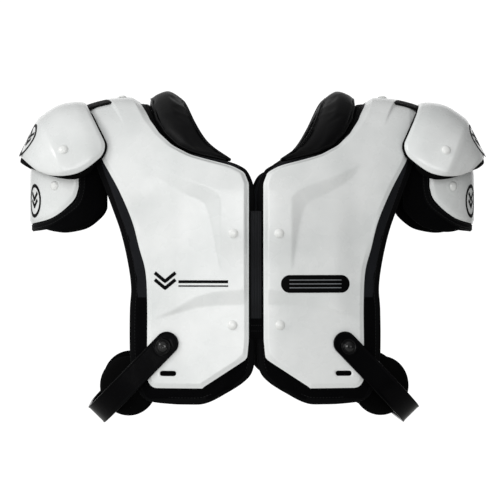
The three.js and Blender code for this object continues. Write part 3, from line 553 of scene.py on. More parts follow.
# Charcoal nylon knit laid on the slant above the seam, and a denser black one below it: both
# nearly matte, the upper with a little sheen. Their real stitches are about 0.7 mm apart, too
# fine to show, and are drawn at 1.5 and 1.1 mm.
liner_knit = woven("charcoal_knit", "#26282e", "#0c0d10", (1.5, 1.5), 0.22, 0.74, 0.06, 0.12, True)
pad_knit = woven("black_nylon_knit", "#070708", "#030304", (1.1, 1.1), 0.16, 0.8, 0.01, 0.03)
liner_rows = stations(
    (0, 62, 5.2), (62, 118, 5.2), (118, 132, 3.5), (132, 160, 2), (160, 178, 4.5), (178, 222, 5),
    (222, 264, 5), (264, 306, 5), (306, 346, 5), (346, 384, 5), (384, 420, 4),
    (420, LINER_PATH, 2.2),
)
inner = liner_edge(LINER_INNER, liner_rows, False)
outer = liner_edge(LINER_OUTER, liner_rows, True)
hem = np.array([0, 2.2, 4.6, 7.2, 9.6])
middle = np.linspace(0, 1, 18)[1:-1]
liner_across = np.concatenate(
    [
        inner[:, None] + hem,
        inner[:, None] + hem[-1] + (outer - inner - 2 * hem[-1])[:, None] * middle,
        outer[:, None] - hem[::-1],
    ],
    1,
)
liner_along = np.broadcast_to(liner_rows[:, None], liner_across.shape)
run = np.abs(liner_along)
from_edge = np.minimum(liner_across - inner[:, None], outer[:, None] - liner_across)
from_edge = np.minimum(from_edge, (LINER_PATH + 1.5 - run) * 0.9)
full = ease(from_edge / 13)
near_channel = np.min([np.abs(run - place) for place in CHANNELS], axis=0)
groove = 1 - ease(near_channel / 4.5)
seam_groove = 1 - ease(np.abs(run - LINER_SEAM) / 3.2)
lower_pad = ease((run - LINER_SEAM) / 3) * full
liner_top = -6.4 + 1.9 * full - 1.2 * seam_groove + 0.4 * lower_pad - below_web(liner_across, run)
liner_bottom = -10.2 - 5.6 * full * (1 - 0.55 * groove) - below_web(liner_across, run) * 0.6
sewn = (from_edge < 8) | (near_channel < 0.6)
under = np.minimum(run, PLATE_PATH)
plate_span = (
    (liner_across > softened(PLATE_INNER, under, PLATE_PATH, PLATE_WIDTH) - 2)
    & (liner_across < PLATE_WIDTH * read(PLATE_OUTER, under / PLATE_PATH) + 2)
    & (run < PLATE_PATH + 2)
)
room_top = np.where(plate_span, 0.5, 2.0)
for word, letter, hand in HANDS:
    liner = slab(
        f"body_liner_{word}", arch, liner_across, liner_along, liner_top, liner_bottom,
        liner_knit, hand,
    )
    liner.data.materials.append(pad_knit)
    rows, columns = liner_across.shape
    row_low = (np.abs(liner_rows[:-1] + liner_rows[1:]) / 2 > LINER_SEAM).astype(int)
    kinds = np.zeros(len(liner.data.polygons), int)
    cells = (rows - 1) * (columns - 1)
    kinds[:cells] = np.repeat(row_low, columns - 1)
    kinds[cells:2 * cells] = np.repeat(row_low, columns - 1)
    liner.data.polygons.foreach_set("material_index", kinds.tolist())
    swell(
        liner, np.tile(sewn.ravel(), 2), np.concatenate([room_top.ravel(), np.full(run.size, 2.6)])
    )
    fixed(rounded(liner), [f"body_liner_{letter}"])


def run_along(line):
    """How far along a line of points each of them lies."""
    return np.concatenate([[0], np.cumsum(np.linalg.norm(np.diff(line, axis=0), axis=1))])


def edge_path(inner_line, outer_line, rows):
    """Places round a piece's edge, evenly spaced and eased at its corners."""
    line = np.concatenate(
        [np.stack([inner_line, rows], -1), np.stack([outer_line, rows], -1)[::-1]]
    )
    closed = np.vstack([line, line[:1]])
    run = run_along(closed)
    places = np.arange(0, run[-1], 3.4)
    even = np.stack([np.interp(places, run, closed[:, k]) for k in range(2)], -1)
    for _ in range(3):
        even = (np.roll(even, 1, 0) + 2 * even + np.roll(even, -1, 0)) / 4
    return even


def trimmed(form, places, height, inward=0.0):
    """Points, outward directions and normals along an edge of a form."""
    a, b = places[:, 0], places[:, 1]
    normal = normal_of(form, a, b)
    points = form(a, b) + normal * np.broadcast_to(height, a.shape)[:, None]
    ahead = unit(np.roll(points, -1, 0) - np.roll(points, 1, 0))
    out = unit(np.cross(ahead, normal))
    if ((points - points.mean(0)) * out).sum() < 0:
        out = -out
    return points - out * inward, out, normal


def face_out(piece):
    """Turns all faces of a piece outwards."""
    work = bmesh.new()
    work.from_mesh(piece.data)
    bmesh.ops.recalc_face_normals(work, faces=work.faces)
    work.to_mesh(piece.data)
    work.free()
    return piece


def swept(name, path, side, up, section, material, hand=1, closed=True):
    """A closed section carried along a path, with UVs along it in mm."""
    section = np.asarray(section, float)
    points = path[:, None] + side[:, None] * section[None, :, :1]
    points = points + up[:, None] * section[None, :, 1:]
    run, round_it = run_along(path), run_along(section)
    run, round_it = np.append(run, run[-1] + 1), np.append(round_it, round_it[-1] + 1)
    uv = np.stack(np.meshgrid(run, round_it, indexing="ij"), -1)
    return face_out(surface(name, points, material, hand, uv, (closed, True)))


def stitched(name, path, up, pitch, length, material, hand=1, closed=False):
    """Thread stitches lying along a path of points."""
    if closed:
        path, up = np.vstack([path, path[:1]]), np.vstack([up, up[:1]])
    run = run_along(path)
    starts = np.arange(pitch / 2, run[-1] - length, pitch)
    at = lambda table, places: np.stack([np.interp(places, run, table[:, k]) for k in range(3)], -1)
    ends = [at(path, starts), at(path, starts + length)]
    lift = unit(at(up, starts + length / 2))
    ahead = unit(ends[1] - ends[0])
    side = np.cross(ahead, lift)
    rings = []
    for share, size, sink in ((0, 0.1, -0.2), (0.2, 0.36, 0.1), (0.8, 0.36, 0.1), (1, 0.1, -0.2)):
        centre = ends[0] + (ends[1] - ends[0]) * share + lift * sink
        corners = [(1, 0), (0.5, 0.87), (-0.5, 0.87), (-1, 0)]
        rings.append(np.stack([centre + side * u * size + lift * v * size for u, v in corners], 1))
    points = np.stack(rings, 1).reshape(-1, 3)
    faces = []
    for s in range(len(starts)):
        for r in range(3):
            for k in range(3):
                p = s * 16 + r * 4 + k
                faces.append((p, p + 4, p + 5, p + 1))
    return add_mesh(name, points, faces, material, hand)


# Woven binding tape, ribbed across, and waxed black thread: a dull rim with fine lit stitches.
binding_tape = woven("black_binding_tape", "#090a0b", "#040405", (0.9, 3.0), 0.18, 0.7, 0.01, 0.05)
thread = woven("black_thread", "#202226", "#0b0c0d", (0.5, 0.5), 0.1, 0.6, 0.06, 0.2)
TAPE = (
    (-8.2, 2.6), (-7.8, 3.1), (-4, 3.2), (-1.2, 2.9), (0.5, 1.9), (1.2, 0), (0.5, -1.9),
    (-1.2, -2.9), (-4, -3.2), (-7.8, -3.1), (-8.2, -2.6), (-4, -2.3), (-1.6, -1.2), (-1.6, 1.2),
    (-4, 2.3),
)
fine_rows = stations((0, 118, 4), (118, 165, 1), (165, 380, 4), (380, LINER_PATH, 1.5))
liner_places = edge_path(
    liner_edge(LINER_INNER, fine_rows, False), liner_edge(LINER_OUTER, fine_rows, True), fine_rows
)
tape_height = -8.3 - below_web(liner_places[:, 0], liner_places[:, 1])
tape_path, tape_out, tape_up = trimmed(arch, liner_places, tape_height, 0.8)
for word, letter, hand in HANDS:
    tape = swept(f"liner_binding_{word}", tape_path, tape_out, tape_up, TAPE, binding_tape, hand)
    fixed(tape)
    seam = stitched(
        f"liner_stitches_{word}", tape_path - tape_out * 6.4 + tape_up * 3.3, tape_up, 3.8, 2.7,
        thread, hand, True,
    )
    fixed(seam)


# Neck collar: a thick foam roll in coated vinyl on each side of the neck, sewn to the liner's
# edge, with a piped seam just inside both of its long edges.
COLLAR_PATH, COLLAR_WIDTH, COLLAR_RISE, COLLAR_SINK = 140, 124, 11.5, 4.5
COLLAR_INNER = (
    (0, 0.68), (0.27, 0.64), (0.52, 0.585), (0.69, 0.525), (0.82, 0.455), (0.9, 0.38),
    (0.965, 0.29), (1, 0.235),
)
COLLAR_TOP = (
    (0, -0.2), (0.07, 0.16), (0.2, 0.62), (0.5, 1), (0.8, 0.66), (0.93, 0.18), (1, -0.2),
)
COLLAR_BOTTOM = (
    (0, 0.62), (0.07, 0.74), (0.2, 0.88), (0.5, 1), (0.8, 0.86), (0.93, 0.64), (1, 0.42),
)


def grained(name, light, dark, cell, depth, rough, shine):
    """Coated cloth, foam or plastic with a fine pebbled grain of that cell size in mm."""
    material, shader = material_of(name)
    tree = material.node_tree
    spot = place_in(material, "Object")
    cells = node(material, "TexVoronoi", {"Scale": per(cell)}, {"Vector": spot})
    wear = node(material, "TexNoise", {"Scale": per(33.3), "Detail": 5.0}, {"Vector": spot})
    tone = ramp(material, (wear, "Fac"), ((0.35, dark), (0.65, light)))
    change = node(
        material, "MapRange", {"To Min": rough - 0.07, "To Max": rough + 0.09},
        {"Value": (wear, "Fac")},
    )
    tree.links.new(tone[0].outputs["Color"], shader.inputs["Base Color"])
    tree.links.new(change.outputs["Result"], shader.inputs["Roughness"])
    soft = node(material, "TexNoise", {"Scale": per(22.2), "Detail": 2.0}, {"Vector": spot})
    heights = (((soft, "Fac"), 0.5), ((cells, "Distance"), depth))
    finish_surface(material, shader, heights, Specular_IOR_Level=shine)
    return material


# Coated vinyl over foam: fine leather-like grain with a broad low shine.
collar_vinyl = grained("black_coated_vinyl", "#060607", "#030304", 0.9, 0.05, 0.42, 0.12)
collar_rows = stations((0, 120, 3.6), (120, COLLAR_PATH, 1.8))
place = np.abs(collar_rows) / COLLAR_PATH
collar_outer = liner_edge(LINER_INNER, collar_rows, False) - 0.5
collar_inner = np.minimum(COLLAR_WIDTH * read(COLLAR_INNER, place), collar_outer - 3)
share = 0.5 - 0.5 * np.cos(np.linspace(0, math.pi, 21))
share[1:3], share[-3:-1] = (0.025, 0.07), (0.93, 0.975)
collar_across = collar_outer[:, None] + (collar_inner - collar_outer)[:, None] * share
collar_along = np.broadcast_to(collar_rows[:, None], collar_across.shape)
full = (1 - 0.55 * place**2) * np.sqrt(np.clip(1 - ((place - 0.93) / 0.071).clip(0) ** 2, 0.02, 1))
collar_sink = COLLAR_SINK * (1 - full)
collar_top = COLLAR_RISE * full[:, None] * read(COLLAR_TOP, share) - collar_sink[:, None]
collar_bottom = -14.5 * full[:, None] * read(COLLAR_BOTTOM, share) - 2 * collar_sink[:, None]
edges = (share < 0.05) | (share > 0.95)
sewn = np.broadcast_to(edges, collar_across.shape) | (place[:, None] > 0.97)
PIPING = [(1.25 * math.cos(t), 1.25 * math.sin(t)) for t in np.linspace(0, math.tau, 10)[:-1]]
for word, letter, hand in HANDS:
    collar = slab(
        f"neck_collar_{word}", arch, collar_across, collar_along, collar_top, collar_bottom,
        collar_vinyl, hand,
    )
    swell(collar, np.tile(sewn.ravel(), 2), np.full(2 * sewn.size, 1.8))
    fixed(rounded(collar), [f"neck_collar_{letter}"])
    for edge, at in (("outer", 0.045), ("inner", 0.955)):
        across = collar_outer + (collar_inner - collar_outer) * at
        height = COLLAR_RISE * full * read(COLLAR_TOP, at) - collar_sink + 0.2
        line = raised(arch, across, collar_rows, height)
        up = normal_of(arch, across, collar_rows)
        side = unit(np.cross(np.gradient(line, axis=0), up))
        cord = swept(
            f"collar_piping_{edge}_{word}", line, side, up, PIPING, collar_vinyl, hand, closed=False
        )
        fixed(cord)
        sewn_at = at + (0.05 if at < 0.5 else -0.05)
        across = collar_outer + (collar_inner - collar_outer) * sewn_at
        height = COLLAR_RISE * full * read(COLLAR_TOP, sewn_at) - collar_sink + 0.25
        seam = stitched(
            f"collar_stitches_{edge}_{word}", raised(arch, across, collar_rows, height), up,
            3.6, 2.5, thread, hand,
        )
        fixed(seam)


# Epaulets: moulded saddles over the shoulder ends, each with rounded corners, a rim and a crease
# where its outer face turns down, on a closed-cell foam pad whose edge shows at the outer side,
# front and back. Along the inner edge a thin strip of the black foam peeks out: a foam edge
# standing in for the shadow line there, painted shade.
EPAULET_RIDGE = (
    (0, 0.712, 0.005), (0.22, 0.772, 0), (0.42, 0.843, 0.06),
    (0.6, 0.916, 0.232), (0.8, 0.956, 0.42), (1, 1, 0.7),
)
EPAULET_SKIRT = (
    (0, 0.609, 0.9, 0.66), (0.22, 0.665, 0.98, 0.82), (0.42, 0.725, 1, 0.945),
    (0.6, 0.785, 0.99, 0.995), (0.8, 0.84, 0.9, 1), (1, 0.9, 0.74, 0.975),
)
EPAULET_REACH, EPAULET_DEPTH, EPAULET_TOP, EPAULET_DROP = 281, 104, 25, 92
EPAULET_SPAN = (110.0, 122.0)


def saddle(side, turn):
    """The epaulet's saddle: side runs outwards from 0 to 1, turn from the crest down to 1."""
    side, turn = paired(side, turn)
    angle = np.abs(turn) * math.pi / 2
    fall = 1 - np.cos(angle)
    across = read(EPAULET_RIDGE, side) * (1 - fall) + read(EPAULET_SKIRT, side) * fall
    drop = read(EPAULET_RIDGE, side, 2) * (1 - fall) + read(EPAULET_SKIRT, side, 3) * fall
    depth = read(EPAULET_SKIRT, side, 2) * np.sin(angle) * np.sign(turn)
    height = EPAULET_TOP - EPAULET_DROP * drop
    return np.stack([EPAULET_REACH * across, -EPAULET_DEPTH * depth, height], -1)


saddle.steps = (0.002, 0.002)


def corner_rounded(x, y, radius):
    """Pulls the corner of a quarter sheet into a round; gives new places and rim distances."""
    p, q = 1 - np.minimum(x / radius, 1), 1 - np.minimum(y / radius, 1)
    round_p, round_q = p * np.sqrt(1 - q * q / 2), q * np.sqrt(1 - p * p / 2)
    new_x = np.where(x < radius, radius * (1 - round_p), x)
    new_y = np.where(y < radius, radius * (1 - round_q), y)
    inside = (x < radius) & (y < radius)
    rim = np.where(inside, radius * (1 - np.hypot(round_p, round_q)), np.minimum(x, y))
    return new_x, new_y, rim


def saddle_places(sides, turns, reach=(0.0, 1.0, 1.0), radius=15):
    """Places over the saddle with rounded corners, and their distances from the rim in mm."""
    low, high, end = reach
    side, turn = np.meshgrid(sides, turns)
    span, fall = EPAULET_SPAN
    near, far = (side - low) * span, (high - side) * span
    down = (end - np.abs(turn)) * fall
    near_x, near_y, near_rim = corner_rounded(near, down, radius)
    far_x, far_y, far_rim = corner_rounded(far, down, radius)
    first = near < far
    new_side = np.where(first, low + near_x / span, high - far_x / span)
    new_turn = np.sign(turn) * (end - np.where(first, near_y, far_y) / fall)
    return new_side, new_turn, np.where(first, near_rim, far_rim)


def spread(start, end, count, fine=6.0, dense=4):
    """Places from start to end with finer steps near both ends."""
    edge = np.linspace(0, 1, dense + 1) ** 1.2 * fine
    inside = np.linspace(fine, abs(end - start) - fine, count)[1:-1]
    run = np.concatenate([edge, inside, abs(end - start) - edge[::-1]])
    return start + run * np.sign(end - start)


def epaulet_relief(side, turn):
    line = 0.585 + 0.03 * ease((np.abs(turn) - 0.6) / 0.4)
    gap = (side - line) * EPAULET_SPAN[0]
    crease = 1.5 * np.exp(-np.abs(gap) / 9)
    face = -0.8 * ease((gap - 2) / 14) * ease((50 - gap) / 20)
    return crease + face


def rimmed(from_rim, relief, width):
    """Height of a moulded shell's outside: its relief, falling to a rounded rim."""
    rise = np.clip((from_rim - 0.9) / width, 0, 1)
    height = -1.6 + (1.6 + relief) * (0.7 * rise + 0.3 * ease(rise))
    return height - 0.25 * ease(1 - from_rim / 0.9)


def bulge(inward, radius, least=0.02):
    """The round of a soft edge: nearly nothing at the rim, one from its radius inwards."""
    return np.sqrt(np.clip(1 - (1 - np.clip(inward / radius, 0, 1)) ** 2, least, 1))


# Closed-cell foam, skived: pitted, quite matte and almost black.
foam_black = grained("black_closed_cell_foam", "#060606", "#030303", 0.7, 0.12, 0.8, 0.04)
span, fall = EPAULET_SPAN
side, turn, from_rim = saddle_places(
    spread(0, span, 56) / span, mirrored(spread(0, fall, 42)) / fall
)
epaulet_points = raised(saddle, side, turn, rimmed(from_rim, epaulet_relief(side, turn), 4.2))
pad_side, pad_turn, pad_rim = saddle_places(
    spread(0.16 * span, 1.05 * span, 19) / span,
    mirrored(spread(0, 1.05 * fall, 18)) / fall,
    (0.16, 1.05, 1.05), 17,
)
shape = bulge(pad_rim, 4.5)
pad_top = -5.6 + 1.9 * shape
pad_bottom = -6.4 - 3.6 * shape
lip_side, lip_turn, lip_rim = saddle_places(
    spread(-0.03 * span, 0.2 * span, 14, 3) / span,
    mirrored(spread(0, 1.03 * fall, 30)) / fall,
    (-0.03, 1.05, 1.03), 16,
)
lip_side = np.maximum(lip_side, 0.02 - 0.05 * ease((np.abs(lip_turn) - 0.3) / 0.15))
lip_shape = bulge(lip_rim, 2.2)
for word, letter, hand in HANDS:
    shell = surface(f"epaulet_{word}", epaulet_points, plate_plastic, hand)
    fixed(thickened(shell, PLATE_THICK), [f"epaulet_{letter}"])
    foam = slab(
        f"epaulet_foam_{word}", saddle, pad_side, pad_turn, pad_top, pad_bottom, foam_black, hand,
        np.stack([pad_side * span, pad_turn * fall], -1),
    )
    swell(face_out(foam), np.tile((pad_rim < 4).ravel(), 2), np.full(2 * pad_rim.size, 0.35))
    fixed(rounded(foam), [f"epaulet_pad_{letter}"])
    # A thin strip of the black foam under the shell's inner edge, peeking out at front and back: a
    # foam edge put in to draw the dark shadow line along that edge, painted shade.
    lip = slab(
        f"epaulet_shadow_lip_{word}", saddle, lip_side, lip_turn, -4.0 + 0.35 * lip_shape,
        -4.2 - 0.8 * lip_shape, foam_black, hand,
        np.stack([lip_side * span, lip_turn * fall], -1),
    )
    fixed(face_out(lip))


# Shoulder cups: moulded domes hung below the epaulets, with a rim and a boss round each rivet,
# over a foam pad with a rolled, double-stitched band along the cup's edge.
CUP_EDGE = ((0, 1), (30, 0.985), (50, 0.955), (63, 0.9), (74, 0.82), (81, 0.74), (84, 0.64))
CUP_PAD_EDGE = (
    (0, 0.9), (24, 0.935), (43, 0.98), (61, 1), (77, 0.985), (90, 0.955), (100, 0.9),
    (109, 0.83), (113, 0.77),
)
CUP_PAD_TOP = ((0, 0.3), (84, 0.3), (90, 0.5), (100, 0.74), (113, 0.86))
CUP_RIVET = (1.06, 58)
PER_TURN, PER_CLIMB = 1.33, 122.5
CUP_MIDDLE, CUP_OUT, CUP_RADIUS, CUP_HEIGHT = 200, 68, 78, -70
CUP_TURN, CUP_FOOT, PAD_TURN, PAD_FOOT = 84, -122, 113, -132
CUP_START = 0.3


def dome(climb, turn):
    """The cup's dome: climb is 0 on top and 1 at its equator, turn is in degrees to the front."""
    climb, turn = paired(climb, turn)
    angle = np.minimum(climb, 1) * math.pi / 2
    below = np.maximum(climb - 1, 0) * CUP_RADIUS * math.pi / 2
    out = CUP_MIDDLE + CUP_OUT * np.sin(angle) * np.cos(np.radians(turn))
    depth = -CUP_RADIUS * np.sin(angle) * np.sin(np.radians(turn))
    return np.stack([out, depth, CUP_HEIGHT + CUP_RADIUS * np.cos(angle) - below], -1)


def climb_at(height):
    """The climb at which the dome reaches a height."""
    rise = (np.asarray(height, float) - CUP_HEIGHT) / CUP_RADIUS
    return np.where(
        rise >= 0, np.arccos(np.clip(rise, 0, 1)) / (math.pi / 2), 1 - rise / (math.pi / 2)
    )


dome.steps = (0.01, 0.5)


def cup_map(climb, turn):
    """The dome laid flat, in mm."""
    return np.stack([np.abs(turn) * PER_TURN, climb * PER_CLIMB], -1)


turns = mirrored(spread(0, CUP_TURN, 56, 5))
lowest = climb_at(CUP_FOOT * read(CUP_EDGE, np.abs(turns)))
shares = np.concatenate([np.linspace(0, 0.93, 52), [0.95, 0.965, 0.98, 0.99, 0.995, 1]])
climb = CUP_START + (lowest - CUP_START)[:, None] * shares
turn = np.broadcast_to(turns[:, None], climb.shape)
edge_turns = np.linspace(0, CUP_TURN, 90)
cup_outline = np.concatenate(
    [
        cup_map(climb_at(CUP_FOOT * read(CUP_EDGE, edge_turns)), edge_turns),
        cup_map(np.linspace(1.06, CUP_START, 20), np.full(20, CUP_TURN)),
    ]
)
from_rim = distance(cup_map(climb, turn), cup_outline)
to_rivet = np.linalg.norm(cup_map(climb, turn) - cup_map(*CUP_RIVET), axis=-1)
boss = 0.55 * (1 - ease((np.abs(to_rivet - 8.2) - 0.5) / 1.2))
cup_points = raised(dome, climb, turn, rimmed(from_rim, boss, 4))

pad_turns = mirrored(spread(0, PAD_TURN, 28, 6))
highest = read(CUP_PAD_TOP, np.abs(pad_turns), 1, False)
pad_lowest = climb_at(PAD_FOOT * read(CUP_PAD_EDGE, np.abs(pad_turns)))
shares = spread(0, 100, 20, 5) / 100
pad_climb = highest[:, None] + (pad_lowest - highest)[:, None] * shares
pad_turn = np.broadcast_to(pad_turns[:, None], pad_climb.shape)
pad_outline = np.concatenate(
    [
        cup_map(pad_lowest, pad_turns)[pad_turns >= 0],
        cup_map(highest, pad_turns)[pad_turns >= 0][::-1],
    ]
)
pad_rim = distance(cup_map(pad_climb, pad_turn), pad_outline)
shape = bulge(pad_rim, 6)
pad_top = -6.2 + 2.3 * shape
pad_bottom = -7.6 - 4.4 * shape
front_turns = np.linspace(0, CUP_TURN, 70)
roll_turns = np.concatenate([front_turns, np.full(14, CUP_TURN + 4.0)])
roll_climbs = np.concatenate(
    [climb_at(CUP_FOOT * read(CUP_EDGE, front_turns)) + 0.034, np.linspace(1.05, 0.62, 14)]
)
roll_turns[:70] += 4 * ease((roll_turns[:70] - 60) / 24)
roll = np.stack([roll_climbs, roll_turns], -1)
for _ in range(4):
    roll[1:-1] = (roll[:-2] + 2 * roll[1:-1] + roll[2:]) / 4
roll = np.concatenate([roll[:0:-1] * [1, -1], roll])
BAND = [
    (4.6 * math.copysign(abs(math.cos(t)) ** 0.7, math.cos(t)), 2.3 * math.sin(t))
    for t in np.linspace(0, math.tau, 17)[:-1]
]
for word, letter, hand in HANDS:
    shell = surface(f"shoulder_cup_{word}", cup_points, plate_plastic, hand)
    fixed(thickened(shell, PLATE_THICK), [f"shoulder_cup_{letter}"])
    pad = slab(
        f"cup_pad_{word}", dome, pad_climb, pad_turn, pad_top, pad_bottom, pad_knit, hand,
        np.stack([pad_turn * PER_TURN, pad_climb * PER_CLIMB], -1),
    )
    room = np.concatenate([np.full(pad_rim.size, 0.6), np.full(pad_rim.size, 2.4)])
    swell(face_out(pad), np.tile((pad_rim < 5).ravel(), 2), room)
    fixed(rounded(pad), [f"cup_pad_{letter}"])
    line = raised(dome, roll[:, 0], roll[:, 1], -4.6)
    up = normal_of(dome, roll[:, 0], roll[:, 1])
    side = unit(np.cross(np.gradient(line, axis=0), up))
    band = swept(f"cup_pad_band_{word}", line, side, up, BAND, binding_tape, hand, closed=False)
    fixed(band)
    for mark, shift in (("upper", 2.3), ("lower", -2.3)):
        seam = stitched(
            f"cup_pad_stitches_{mark}_{word}", line + side * shift + up * 2.15, up, 3.6, 2.5,
            thread, hand,
        )
        fixed(seam)


# Hinge webs: two layers of flat woven webbing hang each cup and epaulet from the plate's crest,
# lying over the shoulder's curve and stitched down under the plate.
# Nylon webbing, woven flat: dull, with a coarse rib across.
flat_webbing = woven("black_flat_webbing", "#121316", "#050506", (2.2, 1.1), 0.3, 0.6, 0.02, 0.1)
WEB_HALF, WEB_IN, WEB_OUT = 31, 168, 230


def hinge(across, depth):
    """The web's own curve, from the plate's crest over to the top of the cup."""
    across, depth = paired(across, depth)
    top = KNEE + (crest_height(across) - KNEE) * np.sqrt(1 - (depth / half_depth(across)) ** 2)
    out = np.maximum(across - CUP_MIDDLE, 0) / CUP_OUT
    over = CUP_HEIGHT + CUP_RADIUS * np.sqrt(1 - out**2 - (depth / CUP_RADIUS) ** 2)
    height = top + (over + 0.7 - top) * ease((across - 197) / 17)
    return np.stack([across, -depth, height], -1)


hinge.steps = (0.5, 0.5)
web_across, web_depth = np.meshgrid(
    np.linspace(WEB_IN, WEB_OUT, 32), np.linspace(-WEB_HALF, WEB_HALF, 32)
)
web_uv = np.stack([web_across, web_depth], -1)
for word, letter, hand in HANDS:
    for level, height in (("lower", 0.5), ("upper", 1.75)):
        bottom = np.full(web_across.shape, height)
        layer = slab(
            f"hinge_web_{level}_{word}", hinge, web_across, web_depth, bottom + 0.95, bottom,
            flat_webbing, hand, web_uv,
        )
        fixed(face_out(layer), [f"hinge_web_{letter}"] if level == "lower" else ())


# Centre elastics: one ribbed strip joins the halves at front and back, folded at its upper end
# and stitched across the lower one. Its flat edges run on under both liners.
# Knitted elastic: bright grey ribs over black, with dull black edges.
ribbed_elastic = woven(
    "grey_ribbed_elastic", "#3c3e43", "#0a0b0c", (1.9, 0.8), 0.4, 0.7, 0.05, 0.15
)
elastic_edge = woven(
    "black_elastic_selvedge", "#070708", "#030304", (0.9, 0.9), 0.15, 0.8, 0.01, 0.04
)
FACES = (("front", 1), ("back", -1))
RIB_PITCH, RIBBED_HALF, ELASTIC_HALF = 1.9, 6.1, 26
ELASTIC_FROM, ELASTIC_HEM, ELASTIC_TO = 206, 215, 352
TACK_ROWS = (("upper", 338), ("lower", 344.5))
edge = np.linspace(6.4, ELASTIC_HALF, 8)
places = np.concatenate([-edge[::-1], np.linspace(-6, 6, 41), edge])
lengths = np.concatenate(
    [
        np.linspace(ELASTIC_FROM, ELASTIC_HEM, 8), np.linspace(ELASTIC_HEM + 1, 330, 44),
        np.linspace(331, ELASTIC_TO, 16),
    ]
)
web_x, web_run = np.meshgrid(places, lengths)
ribbed = (np.abs(web_x) < RIBBED_HALF) * (web_run > ELASTIC_HEM + 0.5)
ribs = 0.3 * np.cos(web_x * math.tau / RIB_PITCH) * ribbed
fold = 0.55 * (1 - ease((web_run - ELASTIC_HEM + 1.5) / 1.6))
tacks = sum(0.35 * np.exp(-((web_run - at) / 0.8) ** 2) for _, at in TACK_ROWS)
selvedge = -0.3 * (np.abs(web_x) > RIBBED_HALF)
for word, way in FACES:
    web = slab(
        f"centre_elastic_{word}", arch, web_x, web_run * way, -4.0 + ribs + fold - tacks + selvedge,
        np.full(web_x.shape, -5.2), ribbed_elastic, 1, np.stack([web_x, web_run], -1),
    )
    web.data.materials.append(elastic_edge)
    dark = np.zeros(len(web.data.polygons), int)
    cells = (len(lengths) - 1) * (len(places) - 1)
    outer_cells = np.abs(web_x[:-1, :-1] + web_x[1:, 1:]) / 2 > 6.2
    outer_cells |= web_run[:-1, :-1] > 329.5
    dark[:cells] = outer_cells.ravel()
    web.data.polygons.foreach_set("material_index", dark.tolist())
    fixed(face_out(web), [f"centre_web_{word}"])
    for mark, at in TACK_ROWS:
        row = np.linspace(-7.5, 7.5, 30)
        line = raised(arch, row, np.full(30, at * way), -3.95)
        up = normal_of(arch, row, np.full(30, at * way))
        fixed(stitched(f"elastic_stitches_{mark}_{word}", line, up, 2.6, 1.9, thread))


# Side straps: one stiff acetal strip bent round each side, with raised rails along both edges and
# a knurled ring under each screw, which clamps it to the plate through a dished washer.
# Acetal strip and washer, moulded and glossy: black with thin lit edges. The screw is blackened
# steel, lacquered: a black dome with small highlights.
strap_acetal = grained("black_acetal", "#030304", "#020203", 0.35, 0.012, 0.2, 0.05)
washer_acetal = grained("black_glossy_acetal", "#050506", "#030304", 0.3, 0.008, 0.16, 0.16)
screw_steel, screw_shader = material_of("blackened_steel")
finish_surface(
    screw_steel, screw_shader, (), Base_Color=linear("#060607"), Roughness=0.08,
    Specular_IOR_Level=0.4, Coat_Weight=0.2, Coat_Roughness=0.03,
)
STRAP_AT = (107, PLATE_PATH - 47.5)
STRAP_SEAT = raised(arch, *STRAP_AT, 0.5)
STRAP_NORMAL = normal_of(arch, *STRAP_AT)
STRAP_FALL = math.radians(46)
AWAY = np.array([math.cos(STRAP_FALL), 0, -math.sin(STRAP_FALL)])
SIDEWAYS = np.array([math.sin(STRAP_FALL), 0, math.cos(STRAP_FALL)])
STRAIGHT, REACH, HALF_WIDTH, PAST_SCREW = 56, 112, 13.5, 6
lean = math.atan2(STRAP_NORMAL @ AWAY, -STRAP_NORMAL[1])
bend_radius = (REACH - STRAIGHT * math.cos(lean)) / (1 - math.sin(lean))
bend_x = STRAIGHT * math.cos(lean)
bend_y = STRAP_SEAT[1] + STRAIGHT * math.sin(lean)
bend_length = bend_radius * (math.pi / 2 - lean)
half_length = STRAIGHT + bend_length + abs(bend_y + bend_radius * math.cos(lean))
tilt = (STRAP_NORMAL @ SIDEWAYS) / -STRAP_NORMAL[1]


def strap(across, run):
    """The strap's bent strip: across it, and along it from the middle of its bend to the front."""
    across, run = paired(across, run)
    from_end = half_length - np.abs(run)
    angle = lean + np.clip((from_end - STRAIGHT) / bend_radius, 0, math.pi / 2 - lean)
    bent = from_end > STRAIGHT
    away = np.where(
        bent, bend_x + bend_radius * (np.sin(angle) - math.sin(lean)), from_end * math.cos(lean)
    )
    depth = np.where(
        bent,
        bend_y + bend_radius * (math.cos(lean) - np.cos(angle))
        + np.maximum(from_end - STRAIGHT - bend_length, 0),
        STRAP_SEAT[1] + from_end * math.sin(lean),
    )
    twist = np.clip(run / (half_length - STRAIGHT), -1, 1)
    place = np.array([STRAP_SEAT[0], 0, STRAP_SEAT[2]]) + away[..., None] * AWAY
    place = place - across[..., None] * SIDEWAYS
    place[..., 1] = np.where(run < 0, -1, 1) * depth - across * tilt * twist
    return place


def turned(name, profile, seats, material, hand=1, segments=40):
    """Equal round parts in one mesh, each turned about the normal of its seat (point, normal)."""
    angles = np.linspace(0, math.tau, segments, endpoint=False)
    points, faces = [], []
    for centre, normal in seats:
        x = unit(np.cross(normal, [0.31, 0.17, 1.0]))
        y = np.cross(normal, x)
        ring = np.cos(angles)[:, None] * x + np.sin(angles)[:, None] * y
        start = len(points)
        for radius, height in profile:
            points.extend(centre + ring * radius + normal * height)
        for i in range(len(profile) - 1):
            for k in range(segments):
                p, q = start + i * segments + k, start + i * segments + (k + 1) % segments
                faces.append((p, p + segments, q + segments, q))
        faces.append(tuple(range(start, start + segments)))
        end = start + (len(profile) - 1) * segments
        faces.append(tuple(range(end, end + segments))[::-1])
    return face_out(add_mesh(name, points, faces, material, hand))


